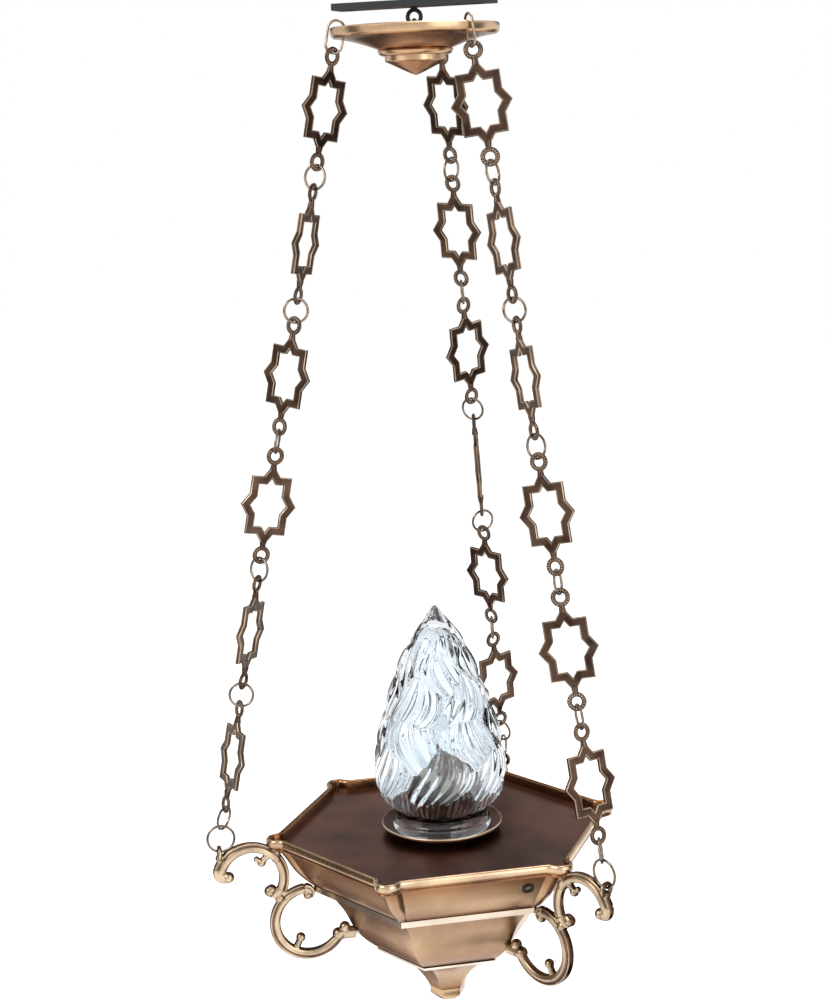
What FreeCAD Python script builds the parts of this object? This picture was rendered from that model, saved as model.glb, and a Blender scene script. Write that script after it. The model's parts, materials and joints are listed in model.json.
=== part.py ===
import FreeCAD, Part
import math
import os

Vector = FreeCAD.Vector

# A hanging sanctuary lamp.  Frame: the origin is the middle of the ceiling bar's top face, +Z is up,
# the bar lies along X.  The three chains and arms stand at 210, 330 and 90 degrees about Z.
# All lengths are in millimetres, all angles in degrees.

# ---- clearances ---------------------------------------------------------------------------------
SEAT = 0.3                # gap left where one ring or loop hangs in another
HOLE_GAP = 0.15           # radial gap of a shank or tube in its plain hole
NEST_GAP = 0.3            # gap between nested loose pieces
CUT_OVER = 1.0            # how far a cutter runs past the face that it opens

# ---- ceiling bar and the loops that carry the canopy --------------------------------------------
BAR_LENGTH = 120.0
BAR_WIDTH = 22.0
BAR_THICK = 5.0
BAR_SCREW_SPACING = 96.0
BAR_SCREW_R = 2.3
BAR_SINK_R = 4.6
BAR_SINK_DEPTH = 2.2
EYE_NECK = 0.5
EYE_WIRE = 3.0
EYE_HOLE = 7.0
EYE_SHANK_R = 2.4
EYE_RIVET_R = 4.0
EYE_RIVET_DEPTH = 1.6
LINK_WIRE = 2.5
LINK_LENGTH = 7.0         # from contact to contact
LINK_WIDTH = 6.4          # inside
STEM_WIRE = 2.5
STEM_HOLE = 6.0
STEM_COLLAR_R = 6.0
STEM_COLLAR_THICK = 3.6
STEM_COLLAR_SINK = 0.8    # how far the stem's loop sinks into its collar
STEM_R = 2.5
STEM_LENGTH = 13.0        # below the collar

# ---- canopy -------------------------------------------------------------------------------------
CANOPY_R = 61.6
CANOPY_BAND = 6.2
CANOPY_SHOULDER_R = 50.0
CANOPY_SHOULDER_DROP = 9.2
CANOPY_FLOOR_R = 27.0
CANOPY_DEPTH = 17.0
CANOPY_SHEET = 1.2
CANOPY_LIP = 8.4
FINIAL_STEP_R = 27.6
FINIAL_STEP_HEIGHT = 4.2
FINIAL_STEP_TAPER = 1.6
FINIAL_BAND_R = 22.4
FINIAL_BAND_HEIGHT = 4.4
FINIAL_CONE_HEIGHT = 9.6
FINIAL_TIP_R = 1.2

# ---- chains -------------------------------------------------------------------------------------
FIRST_CHAIN_ANGLE = 210.0
CHAIN_ANGLE = {"a": FIRST_CHAIN_ANGLE, "b": FIRST_CHAIN_ANGLE + 120, "c": FIRST_CHAIN_ANGLE - 120}
CORNER_ANGLE = FIRST_CHAIN_ANGLE % 60    # the body's corners stand under the chains, 60 degrees apart
STARS_PER_CHAIN = 6
RING_WIRE = 1.9
HANGER_WIDTH = 10.0       # inside
HANGER_DROP = 17.4        # from the canopy's top down to the first star's ring
HANGER_TWIST = -18.0      # the hanger's turn away from the radial plane
HANGER_SLOT_R = 3.0       # hole in the canopy for the hanger's inner leg
STAR_LENGTH = 82.4        # inside of the upper ring to inside of the lower ring
STAR_END_REACH = 10.2     # from the star's point to the inside of its ring
STAR_HALF_LENGTH = STAR_LENGTH / 2 - STAR_END_REACH
STAR_HALF_WIDTH = 22.0
STAR_BLOCK_HALF_LENGTH = STAR_HALF_LENGTH - 9.0
STAR_BLOCK_HALF_WIDTH = 16.0
STAR_BAR = 6.0
STAR_THICK = 3.0
STAR_BEVEL = 0.5
STAR_RING_OUTSIDE = 14.0
STAR_RING_HOLE = 7.0
STAR_RING_THICK = 2.8
STAR_NECK_R = 1.45
STAR_NECK_LENGTH = 5.5
JOIN_LENGTH = 15.5        # inside of a joining ring, contact to contact
ARM_RING_LENGTH = 18.3    # inside of the large ring at the arm
ARM_RING_WIRE = 2.0
CHAIN_TOP_R = CANOPY_R - CANOPY_LIP / 2
CHAIN_FOOT_R = 175.2
# compass direction that each star's face looks in, from the top of the chain down
STAR_FACING = {
    "a": [-26.0, -3.0, -108.0, -45.0, -3.0, -134.0],
    "b": [-72.0, -133.0, -137.0, -101.0, -80.0, -40.0],
    "c": [-113.0, -106.0, -33.0, 15.0, -113.0, -39.0],
}

# ---- lamp body: heights are measured down from the gallery rim's top -----------------------------
EYE_BELOW_RIM = 5.8       # where the large rings bear in the arms' eyes
RIM_APOTHEM = 116.3
RIM_CORNER_R = 139.0
RIM_LOBE_R = 9.5
RIM_HOLLOW_R = 6.0
RIM_WALL = 4.2
RIM_HEIGHT = 10.5
RIM_ROLL_HEIGHT = 9.0
RIM_SHELF_DROP = 8.5
RIM_SHELF_WIDTH = 5.8
RIM_SOFFIT = 5.5
# rolled outer face and rounded inner lip of the rim: (inset, height)
RIM_ROLL = [(1.6, 0.0), (0.5, -0.9), (0.0, -2.4), (0.0, -6.2), (0.5, -8.0)]
RIM_ROLL_FOOT_INSET = 1.6
RIM_ROOT = 0.5            # how far the soffit's foot reaches back into the roll
RIM_LIP = [(RIM_WALL - 1.2, 0.0), (RIM_WALL - 0.2, -1.0), (RIM_WALL, -2.2)]
TRAY_THICK = 1.5
SHELL = 1.5
COLUMN_HOLLOW_R = 2.0
# upper tier: (height, apothem, corner reach, corner column radius)
UPPER_TIER = [
    (-10.5, 110.4, 129.5, 8.0),
    (-18.6, 106.0, 124.0, 7.5),
    (-29.0, 100.3, 117.5, 6.5),
    (-37.0, 94.5, 110.0, 5.2),
    (-41.0, 90.5, 105.0, 4.2),
    (-43.0, 89.0, 103.0, 3.6),
]
LEDGE_R = 103.5
LEDGE_HEIGHT = 4.5
LEDGE_PLATE = 1.6
# lower tier: (height, corner radius)
LOWER_TIER = [
    (-44.6, 97.5), (-48.0, 96.0), (-52.0, 91.5), (-58.0, 86.5), (-65.0, 81.5), (-72.0, 77.8),
    (-79.0, 74.6), (-86.0, 70.2), (-92.5, 64.4), (-98.0, 57.6), (-100.4, 54.0),
]
BASE_PLATE_R = 55.6
BASE_PLATE_THICK = 1.8
# hexagonal trumpet under the body: (height, corner radius)
TRUMPET = [
    (-102.2, 46.5), (-105.5, 44.6), (-110.0, 37.5), (-115.0, 31.0), (-121.0, 25.0), (-128.0, 19.4),
    (-134.5, 15.6), (-136.4, 15.0),
]
TRUMPET_FOOT = 2.4        # solid foot of the trumpet
KNOB_R = 14.2
KNOB_HEIGHT = 7.0
KNOB_POINT_R = 8.0
KNOB_POINT_HEIGHT = 4.6
KNOB_BORE_DEPTH = 8.0

# ---- tie rod ------------------------------------------------------------------------------------
ROD_R = 5.0
ROD_BORE_R = 3.4
ROD_ABOVE_SEAT = 7.0
NUT_R = 8.7
NUT_HEIGHT = 4.0
WASHER_R = 10.0
WASHER_THICK = 1.2

# ---- cable entry --------------------------------------------------------------------------------
ENTRY_FACE_ANGLE = FIRST_CHAIN_ANGLE + 90
ENTRY_SIDE = 41.6
ENTRY_DROP = 20.6
ENTRY_HOLE_R = 3.6
BUSH_BORE_R = 2.6
BUSH_FLANGE_R = 4.6
BUSH_FLANGE_THICK = 0.8

# ---- saucer, glass, lampholder and bulb ---------------------------------------------------------
SAUCER_R = 47.0
SAUCER_EDGE = 2.4
SAUCER_EDGE_TOP = 1.2     # above the rim's top
SAUCER_SEAT_R = 39.2
SAUCER_SEAT_DROP = 3.0
SAUCER_FOOT_R = 33.0
SAUCER_FOOT_FLARE = 1.0
SAUCER_SHEET = 1.6
GLASS_WALL = 2.6
# flame glass: (height, radius)
GLASS_OUTLINE = [
    (-3.0, 38.0), (3.6, 38.0), (5.0, 36.2), (9.5, 35.2), (15.5, 43.0), (21.0, 48.2), (28.0, 51.0),
    (40.0, 51.8), (51.0, 51.6), (58.0, 50.6), (66.0, 48.8), (76.0, 47.2), (87.0, 44.2), (96.0, 40.4),
    (105.0, 36.6), (114.0, 34.2), (124.0, 31.6), (135.0, 28.4), (146.0, 24.4), (155.0, 18.8),
    (163.0, 11.4), (169.0, 5.6), (173.0, 1.6),
]
GLASS_TOP_WALL = 9.0
HOLDER_R = 13.6
HOLDER_FOOT_R = 17.0
HOLDER_FOOT = 4.0
HOLDER_SLOPE = 2.0        # height of the slope from the foot to the cup
HOLDER_HEIGHT = 33.0
HOLDER_FLOOR = 9.0
THREAD_R = 8.2
THREAD_SHEET = 0.6
CONTACT_R = 3.0
CONTACT_HEIGHT = 1.4
BULB_CAP_R = 7.0
BULB_CAP_HEIGHT = 20.0
BULB_CAP_POINT = 2.0      # height of the cap's tapered end
BULB_NECK_R = 9.0
BULB_NECK_HEIGHT = 12.0
# clear candle bulb: (height above the neck, radius)
BULB_OUTLINE = [
    (0.0, 8.8), (5.0, 11.6), (11.0, 14.6), (18.0, 16.6), (25.0, 17.4), (33.0, 16.2), (41.0, 13.0),
    (49.0, 8.6), (56.0, 4.6), (61.0, 2.2), (63.5, 1.0),
]
BULB_WALL = 0.9
FILAMENT_R = 2.6
FILAMENT_LENGTH = 34.0

# ---- scroll arms: places are (distance from the axis, height), set in from the arm's eye ---------
ARM_R = 3.3
CURL_R = 2.8
UPPER_SCROLL = (CHAIN_FOOT_R - 23.2, -32.0)
UPPER_SCROLL_R = 25.7
UPPER_FROM = 22.0
UPPER_TO = 205.0
TIP_CURL_R = 5.5
TIP_CURL_SWEEP = 132.0
CURL_BALL_SINK = 1.0      # how far the ball of the tip or nose sits inside its curl
NOSE_CURL_R = 6.0
NOSE_CURL_SWEEP = 118.0
LOWER_SCROLL = (CHAIN_FOOT_R - 67.2, -71.0)
LOWER_SCROLL_R = 27.2
LOWER_FROM = -152.0
LOWER_TO = 85.0
TOP_CURL_R = 4.2
TOP_CURL_SWEEP = 140.0
TOP_BALL_SINK = 2.0
BALL_R = 4.2
SMALL_BALL_R = 3.7
LEAF_BALL = (CHAIN_FOOT_R - 32.0, -19.2)
SPUR_BALL = (CHAIN_FOOT_R - 59.6, -84.0)
SPUR_ANGLE = -62.0        # where the spur leaves the lower scroll
FOOT_BALL = (CHAIN_FOOT_R - 94.6, -79.4)
JOIN_BALL = (CHAIN_FOOT_R - 44.8, -49.6)
FOOT_Z = -84.5
FOOT_R = 4.8
FOOT_REACH = CHAIN_FOOT_R - 89.2
ARM_EYE_HOLE_R = 2.7
ARM_EYE_WIRE_R = 1.7
ARM_EYE_ROOT_R = 3.4
ARM_EYE_ROOT_DROP = 4.08  # from the eye's hole down to the middle of its root
ARM_PAD_R = 3.6
ARM_PAD_PLACE = 131.6
ARM_PAD_DROP = 9.0
ARM_PAD_CORE_R = 2.0      # core that joins the pad to the upper scroll
ARM_PAD_CORE_DEPTH = 4.5  # below the rim's soffit
ARM_PAD_CORE_ANGLE = 135.0
SCREW_R = 1.9
SCREW_HEAD_R = 3.4
SCREW_HEAD = 2.0
SCREW_REACH = 6.0
BOSS_R = 6.0
BOSS_DEPTH = 8.0
ARM_FACE_SINK = 0.5       # the arm's foot is trimmed this far inside the lower tier's face

# ---- worked-out places --------------------------------------------------------------------------
EYE_Z = -BAR_THICK - EYE_NECK - EYE_WIRE - EYE_HOLE / 2
LINK_TOP_Z = EYE_Z - EYE_HOLE / 2
LINK_FOOT_Z = LINK_TOP_Z - LINK_LENGTH
STEM_LOOP_FOOT_Z = LINK_FOOT_Z + SEAT / 2 - STEM_HOLE - STEM_WIRE
COLLAR_FOOT_Z = STEM_LOOP_FOOT_Z + STEM_COLLAR_SINK - STEM_COLLAR_THICK
CANOPY_TOP_Z = COLLAR_FOOT_Z - CANOPY_SHEET + CANOPY_DEPTH
CHAIN_LENGTH = (HANGER_DROP + STARS_PER_CHAIN * (STAR_LENGTH + JOIN_LENGTH) + ARM_RING_LENGTH)
CHAIN_SPREAD = CHAIN_FOOT_R - CHAIN_TOP_R
CHAIN_DROP = math.sqrt(CHAIN_LENGTH ** 2 - CHAIN_SPREAD ** 2)
CHAIN_LEAN = math.degrees(math.atan2(CHAIN_SPREAD, CHAIN_DROP))
RIM_Z = CANOPY_TOP_Z - CHAIN_DROP + EYE_BELOW_RIM


# ---- small helpers ------------------------------------------------------------------------------
def turned(shape, angle):
    """A copy of the shape turned about Z."""
    copy = shape.copy()
    copy.rotate(Vector(0, 0, 0), Vector(0, 0, 1), angle)
    return copy


def moved(shape, x=0.0, y=0.0, z=0.0):
    """A copy of the shape moved by x, y, z."""
    copy = shape.copy()
    copy.translate(Vector(x, y, z))
    return copy


def lowered(shape):
    """A piece of the lamp body, built about the rim's top, moved down to its place."""
    return moved(shape, z=RIM_Z)


def fused(shapes):
    """One solid from overlapping shapes."""
    return shapes[0].multiFuse(shapes[1:]).removeSplitter()


def turned_solid(profile):
    """Solid of revolution about Z from (radius, height) points."""
    points = [Vector(r, 0, z) for r, z in profile]
    face = Part.Face(Part.makePolygon(points + points[:1]))
    return face.revolve(Vector(0, 0, 0), Vector(0, 0, 1), 360)


def rod(radius, low, high, x=0.0, y=0.0):
    """Upright cylinder from one height to another."""
    return Part.makeCylinder(radius, high - low, Vector(x, y, low))


def upright_ring(hole, wire, z=0.0):
    """Round wire ring standing in the XZ plane."""
    return Part.makeTorus(hole / 2 + wire / 2, wire / 2, Vector(0, 0, z), Vector(0, 1, 0))


def disc_face(radius, centre, normal):
    """Flat round face."""
    return Part.Face(Part.Wire(Part.makeCircle(radius, centre, normal)))


def upright_oval(width, length, wire, z=0.0):
    """Long wire ring in the XZ plane: two half turns joined by straight legs."""
    bend = width / 2 + wire / 2
    reach = (length - width) / 2
    across = disc_face(wire / 2, Vector(bend, 0, 0), Vector(0, 0, 1))
    top = across.revolve(Vector(0, 0, 0), Vector(0, -1, 0), 180)
    foot = across.revolve(Vector(0, 0, 0), Vector(0, 1, 0), 180)
    legs = [rod(wire / 2, -reach, reach, x) for x in (-bend, bend)]
    return moved(fused([moved(top, z=reach), moved(foot, z=-reach)] + legs), z=z)


def hex_wire(corner_r, z):
    """Hexagon with its corners under the chains and midway between them."""
    angles = [math.radians(CORNER_ANGLE + 60 * k) for k in range(7)]
    points = [Vector(corner_r * math.cos(angle), corner_r * math.sin(angle), z) for angle in angles]
    return Part.makePolygon(points)


def hex_loft(sections):
    """Solid through (height, corner radius) hexagons."""
    return Part.makeLoft([hex_wire(radius, z) for z, radius in sections], True, True)


def lobed_wire(apothem, corner_reach, lobe_r, hollow_r, z):
    """Hexagon whose corners are round lobes, each joined to the sides by a small hollow.

    The lobe's centre lies on the corner's axis.  The hollow's centre lies outside the side, at
    lobe_r + hollow_r from the lobe's centre and hollow_r from the side."""
    centre = corner_reach - lobe_r
    centre_out = centre * math.cos(math.radians(30))
    centre_along = centre * math.sin(math.radians(30))
    hollow_out = apothem + hollow_r
    reach = lobe_r + hollow_r
    hollow_along = centre_along - math.sqrt(reach ** 2 - (hollow_out - centre_out) ** 2)
    share = lobe_r / reach
    touch = (centre_out + share * (hollow_out - centre_out),
             centre_along + share * (hollow_along - centre_along))
    down = -90.0
    toward = math.degrees(math.atan2(centre_out - hollow_out, centre_along - hollow_along))
    middle = math.radians((down + toward) / 2)
    hollow_middle = (hollow_out + hollow_r * math.sin(middle), hollow_along + hollow_r * math.cos(middle))

    def place(out, along, side):
        angle = math.radians(CORNER_ANGLE - 30 + 60 * side)
        return Vector(out * math.cos(angle) - along * math.sin(angle),
                      out * math.sin(angle) + along * math.cos(angle), z)

    edges = []
    for side in range(6):
        tip_angle = math.radians(CORNER_ANGLE + 60 * side)
        tip = Vector(corner_reach * math.cos(tip_angle), corner_reach * math.sin(tip_angle), z)
        start = place(apothem, -hollow_along, side)
        end = place(apothem, hollow_along, side)
        lobe_start = place(touch[0], touch[1], side)
        lobe_end = place(touch[0], -touch[1], side + 1)
        next_start = place(apothem, -hollow_along, side + 1)
        edges.append(Part.LineSegment(start, end).toShape())
        edges.append(Part.Arc(end, place(hollow_middle[0], hollow_middle[1], side), lobe_start).toShape())
        edges.append(Part.Arc(lobe_start, tip, lobe_end).toShape())
        edges.append(Part.Arc(lobe_end, place(hollow_middle[0], -hollow_middle[1], side + 1),
                              next_start).toShape())
    return Part.Wire(edges)


def rim_loft(sections):
    """Solid through (inset, height) copies of the gallery rim's outline."""
    wires = [lobed_wire(RIM_APOTHEM - inset, RIM_CORNER_R - inset, RIM_LOBE_R - inset,
                        RIM_HOLLOW_R + inset, z) for inset, z in sections]
    return Part.makeLoft(wires, True, True)


def inward(sections, by):
    """The same (height, corner radius) hexagons, inset by a wall."""
    step = by / math.cos(math.radians(30))
    return [(z, radius - step) for z, radius in sections]


# ---- ceiling pieces -----------------------------------------------------------------------------
def ceiling_bar():
    """Flat iron bar with two sunk screw holes and the hole of the eye."""
    bar = Part.makeBox(BAR_LENGTH, BAR_WIDTH, BAR_THICK,
                       Vector(-BAR_LENGTH / 2, -BAR_WIDTH / 2, -BAR_THICK))
    holes = [rod(EYE_SHANK_R + HOLE_GAP, -BAR_THICK, 0),
             Part.makeCone(EYE_SHANK_R + HOLE_GAP, EYE_RIVET_R + HOLE_GAP, EYE_RIVET_DEPTH,
                           Vector(0, 0, -EYE_RIVET_DEPTH))]
    for x in (-BAR_SCREW_SPACING / 2, BAR_SCREW_SPACING / 2):
        holes.append(rod(BAR_SCREW_R, -BAR_THICK, 0, x))
        holes.append(Part.makeCone(BAR_SINK_R, BAR_SCREW_R, BAR_SINK_DEPTH, Vector(x, 0, -BAR_THICK)))
    return bar.cut(holes[0].multiFuse(holes[1:]))


def ceiling_eye():
    """Riveted eye under the bar."""
    shank = rod(EYE_SHANK_R, -BAR_THICK - EYE_NECK - EYE_WIRE / 2, -EYE_RIVET_DEPTH)
    rivet = Part.makeCone(EYE_SHANK_R, EYE_RIVET_R, EYE_RIVET_DEPTH, Vector(0, 0, -EYE_RIVET_DEPTH))
    shoulder = rod(EYE_SHANK_R + 2 * HOLE_GAP, -BAR_THICK - EYE_NECK, -BAR_THICK)
    return fused([upright_ring(EYE_HOLE, EYE_WIRE, EYE_Z), shank, rivet, shoulder])


def hook_link():
    """Closed link between the eye and the canopy's stem."""
    link = upright_oval(LINK_WIDTH, LINK_LENGTH + SEAT, LINK_WIRE, (LINK_TOP_Z + LINK_FOOT_Z) / 2)
    return turned(link, 90)


def canopy_stem():
    """Eye bolt: loop, collar on the canopy's floor and a shank for the finial."""
    loop = upright_ring(STEM_HOLE, STEM_WIRE, LINK_FOOT_Z + SEAT / 2 - STEM_HOLE / 2)
    collar = rod(STEM_COLLAR_R, COLLAR_FOOT_Z, COLLAR_FOOT_Z + STEM_COLLAR_THICK)
    shank = rod(STEM_R, COLLAR_FOOT_Z - STEM_LENGTH, COLLAR_FOOT_Z)
    return fused([loop, collar, shank])


# ---- chain placing ------------------------------------------------------------------------------
def on_chain(shape, letter, along, facing):
    """Place a piece whose length is Z and whose face looks along +Y at a distance down the chain."""
    radial = CHAIN_ANGLE[letter]
    piece = turned(shape, facing - radial - 90)
    piece.rotate(Vector(0, 0, 0), Vector(0, 1, 0), -CHAIN_LEAN)
    lean = math.radians(CHAIN_LEAN)
    piece.translate(Vector(CHAIN_TOP_R + along * math.sin(lean), 0, CANOPY_TOP_Z - along * math.cos(lean)))
    return turned(piece, radial)


def hanger_facing(letter):
    """A hanger ring's face direction: nearly square to the radius."""
    return CHAIN_ANGLE[letter] + 90 + HANGER_TWIST


def star_along(index):
    """Distance down the chain to the middle of a star."""
    return HANGER_DROP + STAR_LENGTH / 2 + index * (STAR_LENGTH + JOIN_LENGTH)


def between(first, second):
    """Face direction of a ring that stays as square as it can to both neighbours."""
    apart = (second - first + 90) % 180 - 90
    return first + apart / 2 + 90


def hanger_rise():
    """How far the hanger's inside top stands above the canopy's top, clear of both lip corners."""
    half = CANOPY_LIP / 2 / math.cos(math.radians(HANGER_TWIST))
    lean = math.radians(CHAIN_LEAN)
    arc = HANGER_WIDTH / 2
    corner_up = half * math.sin(lean)
    centre = corner_up - math.sqrt((arc - SEAT) ** 2 - (half * math.cos(lean)) ** 2)
    return centre + arc


def hanger_ring(letter):
    """Long ring through the canopy's hole and round its lip."""
    rise = hanger_rise()
    length = HANGER_DROP + SEAT / 2 + rise
    ring = upright_oval(HANGER_WIDTH, length, RING_WIRE)
    return on_chain(ring, letter, (HANGER_DROP + SEAT / 2 - rise) / 2, hanger_facing(letter))


def hanger_hole(letter):
    """Cutter for the hanger's inner leg, from under the canopy's lip down."""
    leg = HANGER_WIDTH / 2 + RING_WIRE / 2
    length = 3 * CANOPY_LIP
    cutter = rod(HANGER_SLOT_R, -length / 2, length / 2, leg)
    low = on_chain(cutter, letter, length / 2 + CANOPY_SHEET + HANGER_SLOT_R, hanger_facing(letter))
    other = on_chain(moved(cutter, x=-2 * leg), letter, length / 2 + CANOPY_SHEET + HANGER_SLOT_R,
                     hanger_facing(letter))
    return min((low, other), key=lambda shape: shape.CenterOfMass.x ** 2 + shape.CenterOfMass.y ** 2)


def canopy_dish():
    """Spun dish, open to the ceiling, with a turned-in lip and three hanger holes."""
    rim_in = CANOPY_R - CANOPY_SHEET
    outer = [(CANOPY_R, 0.0), (CANOPY_R, -CANOPY_BAND), (CANOPY_SHOULDER_R, -CANOPY_SHOULDER_DROP),
             (CANOPY_FLOOR_R, -CANOPY_DEPTH), (STEM_R + HOLE_GAP, -CANOPY_DEPTH)]
    inner = [(STEM_R + HOLE_GAP, -CANOPY_DEPTH + CANOPY_SHEET),
             (CANOPY_FLOOR_R - CANOPY_SHEET / 2, -CANOPY_DEPTH + CANOPY_SHEET),
             (CANOPY_SHOULDER_R - CANOPY_SHEET / 2, -CANOPY_SHOULDER_DROP + CANOPY_SHEET),
             (rim_in, -CANOPY_BAND + CANOPY_SHEET / 2), (rim_in, -CANOPY_SHEET),
             (CANOPY_R - CANOPY_LIP, -CANOPY_SHEET), (CANOPY_R - CANOPY_LIP, 0.0)]
    dish = moved(turned_solid(outer + inner), z=CANOPY_TOP_Z)
    for letter in CHAIN_ANGLE:
        dish = dish.cut(hanger_hole(letter))
    return dish


def canopy_finial():
    """Stepped, pointed nut under the canopy."""
    top = CANOPY_TOP_Z - CANOPY_DEPTH
    step = top - FINIAL_STEP_HEIGHT
    band = step - FINIAL_BAND_HEIGHT
    bore = STEM_R + HOLE_GAP
    bore_top = COLLAR_FOOT_Z - STEM_LENGTH - NEST_GAP
    return turned_solid([
        (bore, top), (FINIAL_STEP_R, top), (FINIAL_STEP_R, top - FINIAL_STEP_HEIGHT / 2),
        (FINIAL_STEP_R - FINIAL_STEP_TAPER, step), (FINIAL_BAND_R, step), (FINIAL_BAND_R, band),
        (FINIAL_TIP_R, band - FINIAL_CONE_HEIGHT), (0.0, band - FINIAL_CONE_HEIGHT), (0.0, bore_top),
        (bore, bore_top)])


# ---- chain pieces -------------------------------------------------------------------------------
def star_outline(inset):
    """Eight-pointed outline: a long diamond over an upright block, both inset by a wall."""
    slope = math.hypot(STAR_HALF_WIDTH, STAR_HALF_LENGTH)
    edge = STAR_HALF_WIDTH * STAR_HALF_LENGTH / slope
    scale = (edge - inset) / edge
    tip_x, tip_z = STAR_HALF_WIDTH * scale, STAR_HALF_LENGTH * scale
    block_x, block_z = STAR_BLOCK_HALF_WIDTH - inset, STAR_BLOCK_HALF_LENGTH - inset
    quarter = [(tip_x, 0.0), (block_x, tip_z * (1 - block_x / tip_x)), (block_x, block_z),
               (tip_x * (1 - block_z / tip_z), block_z), (0.0, tip_z)]
    left = [(-x, z) for x, z in reversed(quarter[:-1])]
    upper = quarter + left
    lower = [(-x, -z) for x, z in upper[1:-1]]
    return [Vector(x, 0, z) for x, z in upper + lower]


def star_link():
    """Flat star frame with bevelled edges, and a round ring at each end."""
    def plate(inset):
        points = star_outline(inset)
        face = Part.Face(Part.makePolygon(points + points[:1]))
        return moved(face.extrude(Vector(0, STAR_THICK, 0)), y=-STAR_THICK / 2)

    frame = plate(0.0).cut(plate(STAR_BAR))
    rims = [edge for edge in frame.Edges
            if all(abs(abs(v.Point.y) - STAR_THICK / 2) < 1e-6 for v in edge.Vertexes)
            and abs(edge.Vertexes[0].Point.y - edge.Vertexes[-1].Point.y) < 1e-6]
    frame = frame.makeChamfer(STAR_BEVEL, rims)
    centre = STAR_LENGTH / 2 + SEAT / 2 - STAR_RING_HOLE / 2
    middle = (STAR_RING_HOLE + STAR_RING_OUTSIDE) / 4
    half = (STAR_RING_OUTSIDE - STAR_RING_HOLE) / 4
    pieces = [frame]
    for way in (1, -1):
        z = way * centre
        oval = Part.Ellipse(Vector(middle + half, 0, z), Vector(middle, STAR_RING_THICK / 2, z),
                            Vector(middle, 0, z))
        section = Part.Face(Part.Wire(oval.toShape()))
        pieces.append(section.revolve(Vector(0, 0, z), Vector(0, 1, 0), 360))
        neck_low = STAR_HALF_LENGTH - STAR_NECK_LENGTH + half
        neck_high = STAR_HALF_LENGTH + half
        pieces.append(rod(STAR_NECK_R, min(way * neck_low, way * neck_high),
                          max(way * neck_low, way * neck_high)))
    return fused(pieces)


def joining_rings(letter):
    """The wire rings between the stars of one chain, and the one below the last star."""
    facing = STAR_FACING[letter] + [CHAIN_ANGLE[letter] + 90]
    ring = upright_ring(JOIN_LENGTH + SEAT, RING_WIRE)
    rings = []
    for index in range(STARS_PER_CHAIN):
        along = star_along(index) + STAR_LENGTH / 2 + JOIN_LENGTH / 2
        rings.append(on_chain(ring, letter, along, between(facing[index], facing[index + 1])))
    return Part.makeCompound(rings)


def arm_ring(letter):
    """The large ring that hangs in the last joining ring and carries the arm."""
    ring = upright_ring(ARM_RING_LENGTH + SEAT, ARM_RING_WIRE)
    return on_chain(ring, letter, CHAIN_LENGTH - ARM_RING_LENGTH / 2, CHAIN_ANGLE[letter] + 90)


# ---- lamp body ----------------------------------------------------------------------------------
def gallery_rim():
    """Cast rim: a rolled band with a shelf for the tray inside it."""
    outer = rim_loft(RIM_ROLL + [(RIM_ROLL_FOOT_INSET, -RIM_ROLL_HEIGHT), (RIM_SOFFIT, -RIM_HEIGHT)])
    foot = rim_loft([(RIM_SOFFIT - RIM_ROOT, -RIM_ROLL_HEIGHT + RIM_ROOT), (RIM_SOFFIT, -RIM_HEIGHT)])
    well = rim_loft(RIM_LIP + [(RIM_WALL, -RIM_SHELF_DROP)])
    rim = outer.fuse(foot).cut(well).cut(shelf_opening(RIM_WALL + RIM_SHELF_WIDTH))
    for letter in CHAIN_ANGLE:
        rim = rim.cut(turned(rim_screw_cutter(), CHAIN_ANGLE[letter]))
    return rim.removeSplitter()


def shelf_opening(inset):
    """Straight-sided cutter of the shelf's opening, with plain hexagon corners."""
    radius = (RIM_APOTHEM - inset) / math.cos(math.radians(30))
    return hex_loft([(-RIM_HEIGHT - CUT_OVER, radius), (-RIM_SHELF_DROP + CUT_OVER, radius)])


def rim_screw_cutter():
    """Sunk hole for the screw that holds an arm's top to the shelf."""
    hole = rod(SCREW_R + HOLE_GAP, -RIM_HEIGHT, -RIM_SHELF_DROP, ARM_PAD_PLACE)
    sink = Part.makeCone(SCREW_R + HOLE_GAP, SCREW_HEAD_R + HOLE_GAP, RIM_HEIGHT - RIM_SHELF_DROP,
                         Vector(ARM_PAD_PLACE, 0, -RIM_HEIGHT))
    return hole.fuse(sink)


def tray_plate():
    """Dark sheet floor that lies on the rim's shelf."""
    plate = rim_loft([(RIM_WALL + HOLE_GAP, -RIM_SHELF_DROP),
                      (RIM_WALL + HOLE_GAP, -RIM_SHELF_DROP + TRAY_THICK)])
    return plate.cut(rod(ROD_R + HOLE_GAP, -RIM_HEIGHT, 0))


def tier_wall(inset, grow=0.0):
    """Solid inside the upper tier's outline, inset by a wall and stretched in height."""
    sections = []
    for index, (z, apothem, reach, column) in enumerate(UPPER_TIER):
        shift = grow if index == 0 else -grow if index == len(UPPER_TIER) - 1 else 0.0
        sections.append(lobed_wire(apothem - inset, reach - inset, column - inset,
                                   COLUMN_HOLLOW_R + inset, z + shift))
    return Part.makeLoft(sections, True, True)


def entry_slope():
    """Angle by which the upper tier's wall leans back at the cable entry."""
    for upper, lower in zip(UPPER_TIER, UPPER_TIER[1:]):
        if lower[0] <= -ENTRY_DROP <= upper[0]:
            return math.degrees(math.atan2(upper[1] - lower[1], upper[0] - lower[0]))
    return 0.0


def entry_apothem():
    """The upper tier's apothem at the height of the cable entry."""
    for upper, lower in zip(UPPER_TIER, UPPER_TIER[1:]):
        if lower[0] <= -ENTRY_DROP <= upper[0]:
            share = (upper[0] + ENTRY_DROP) / (upper[0] - lower[0])
            return upper[1] + share * (lower[1] - upper[1])
    return RIM_APOTHEM


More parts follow.
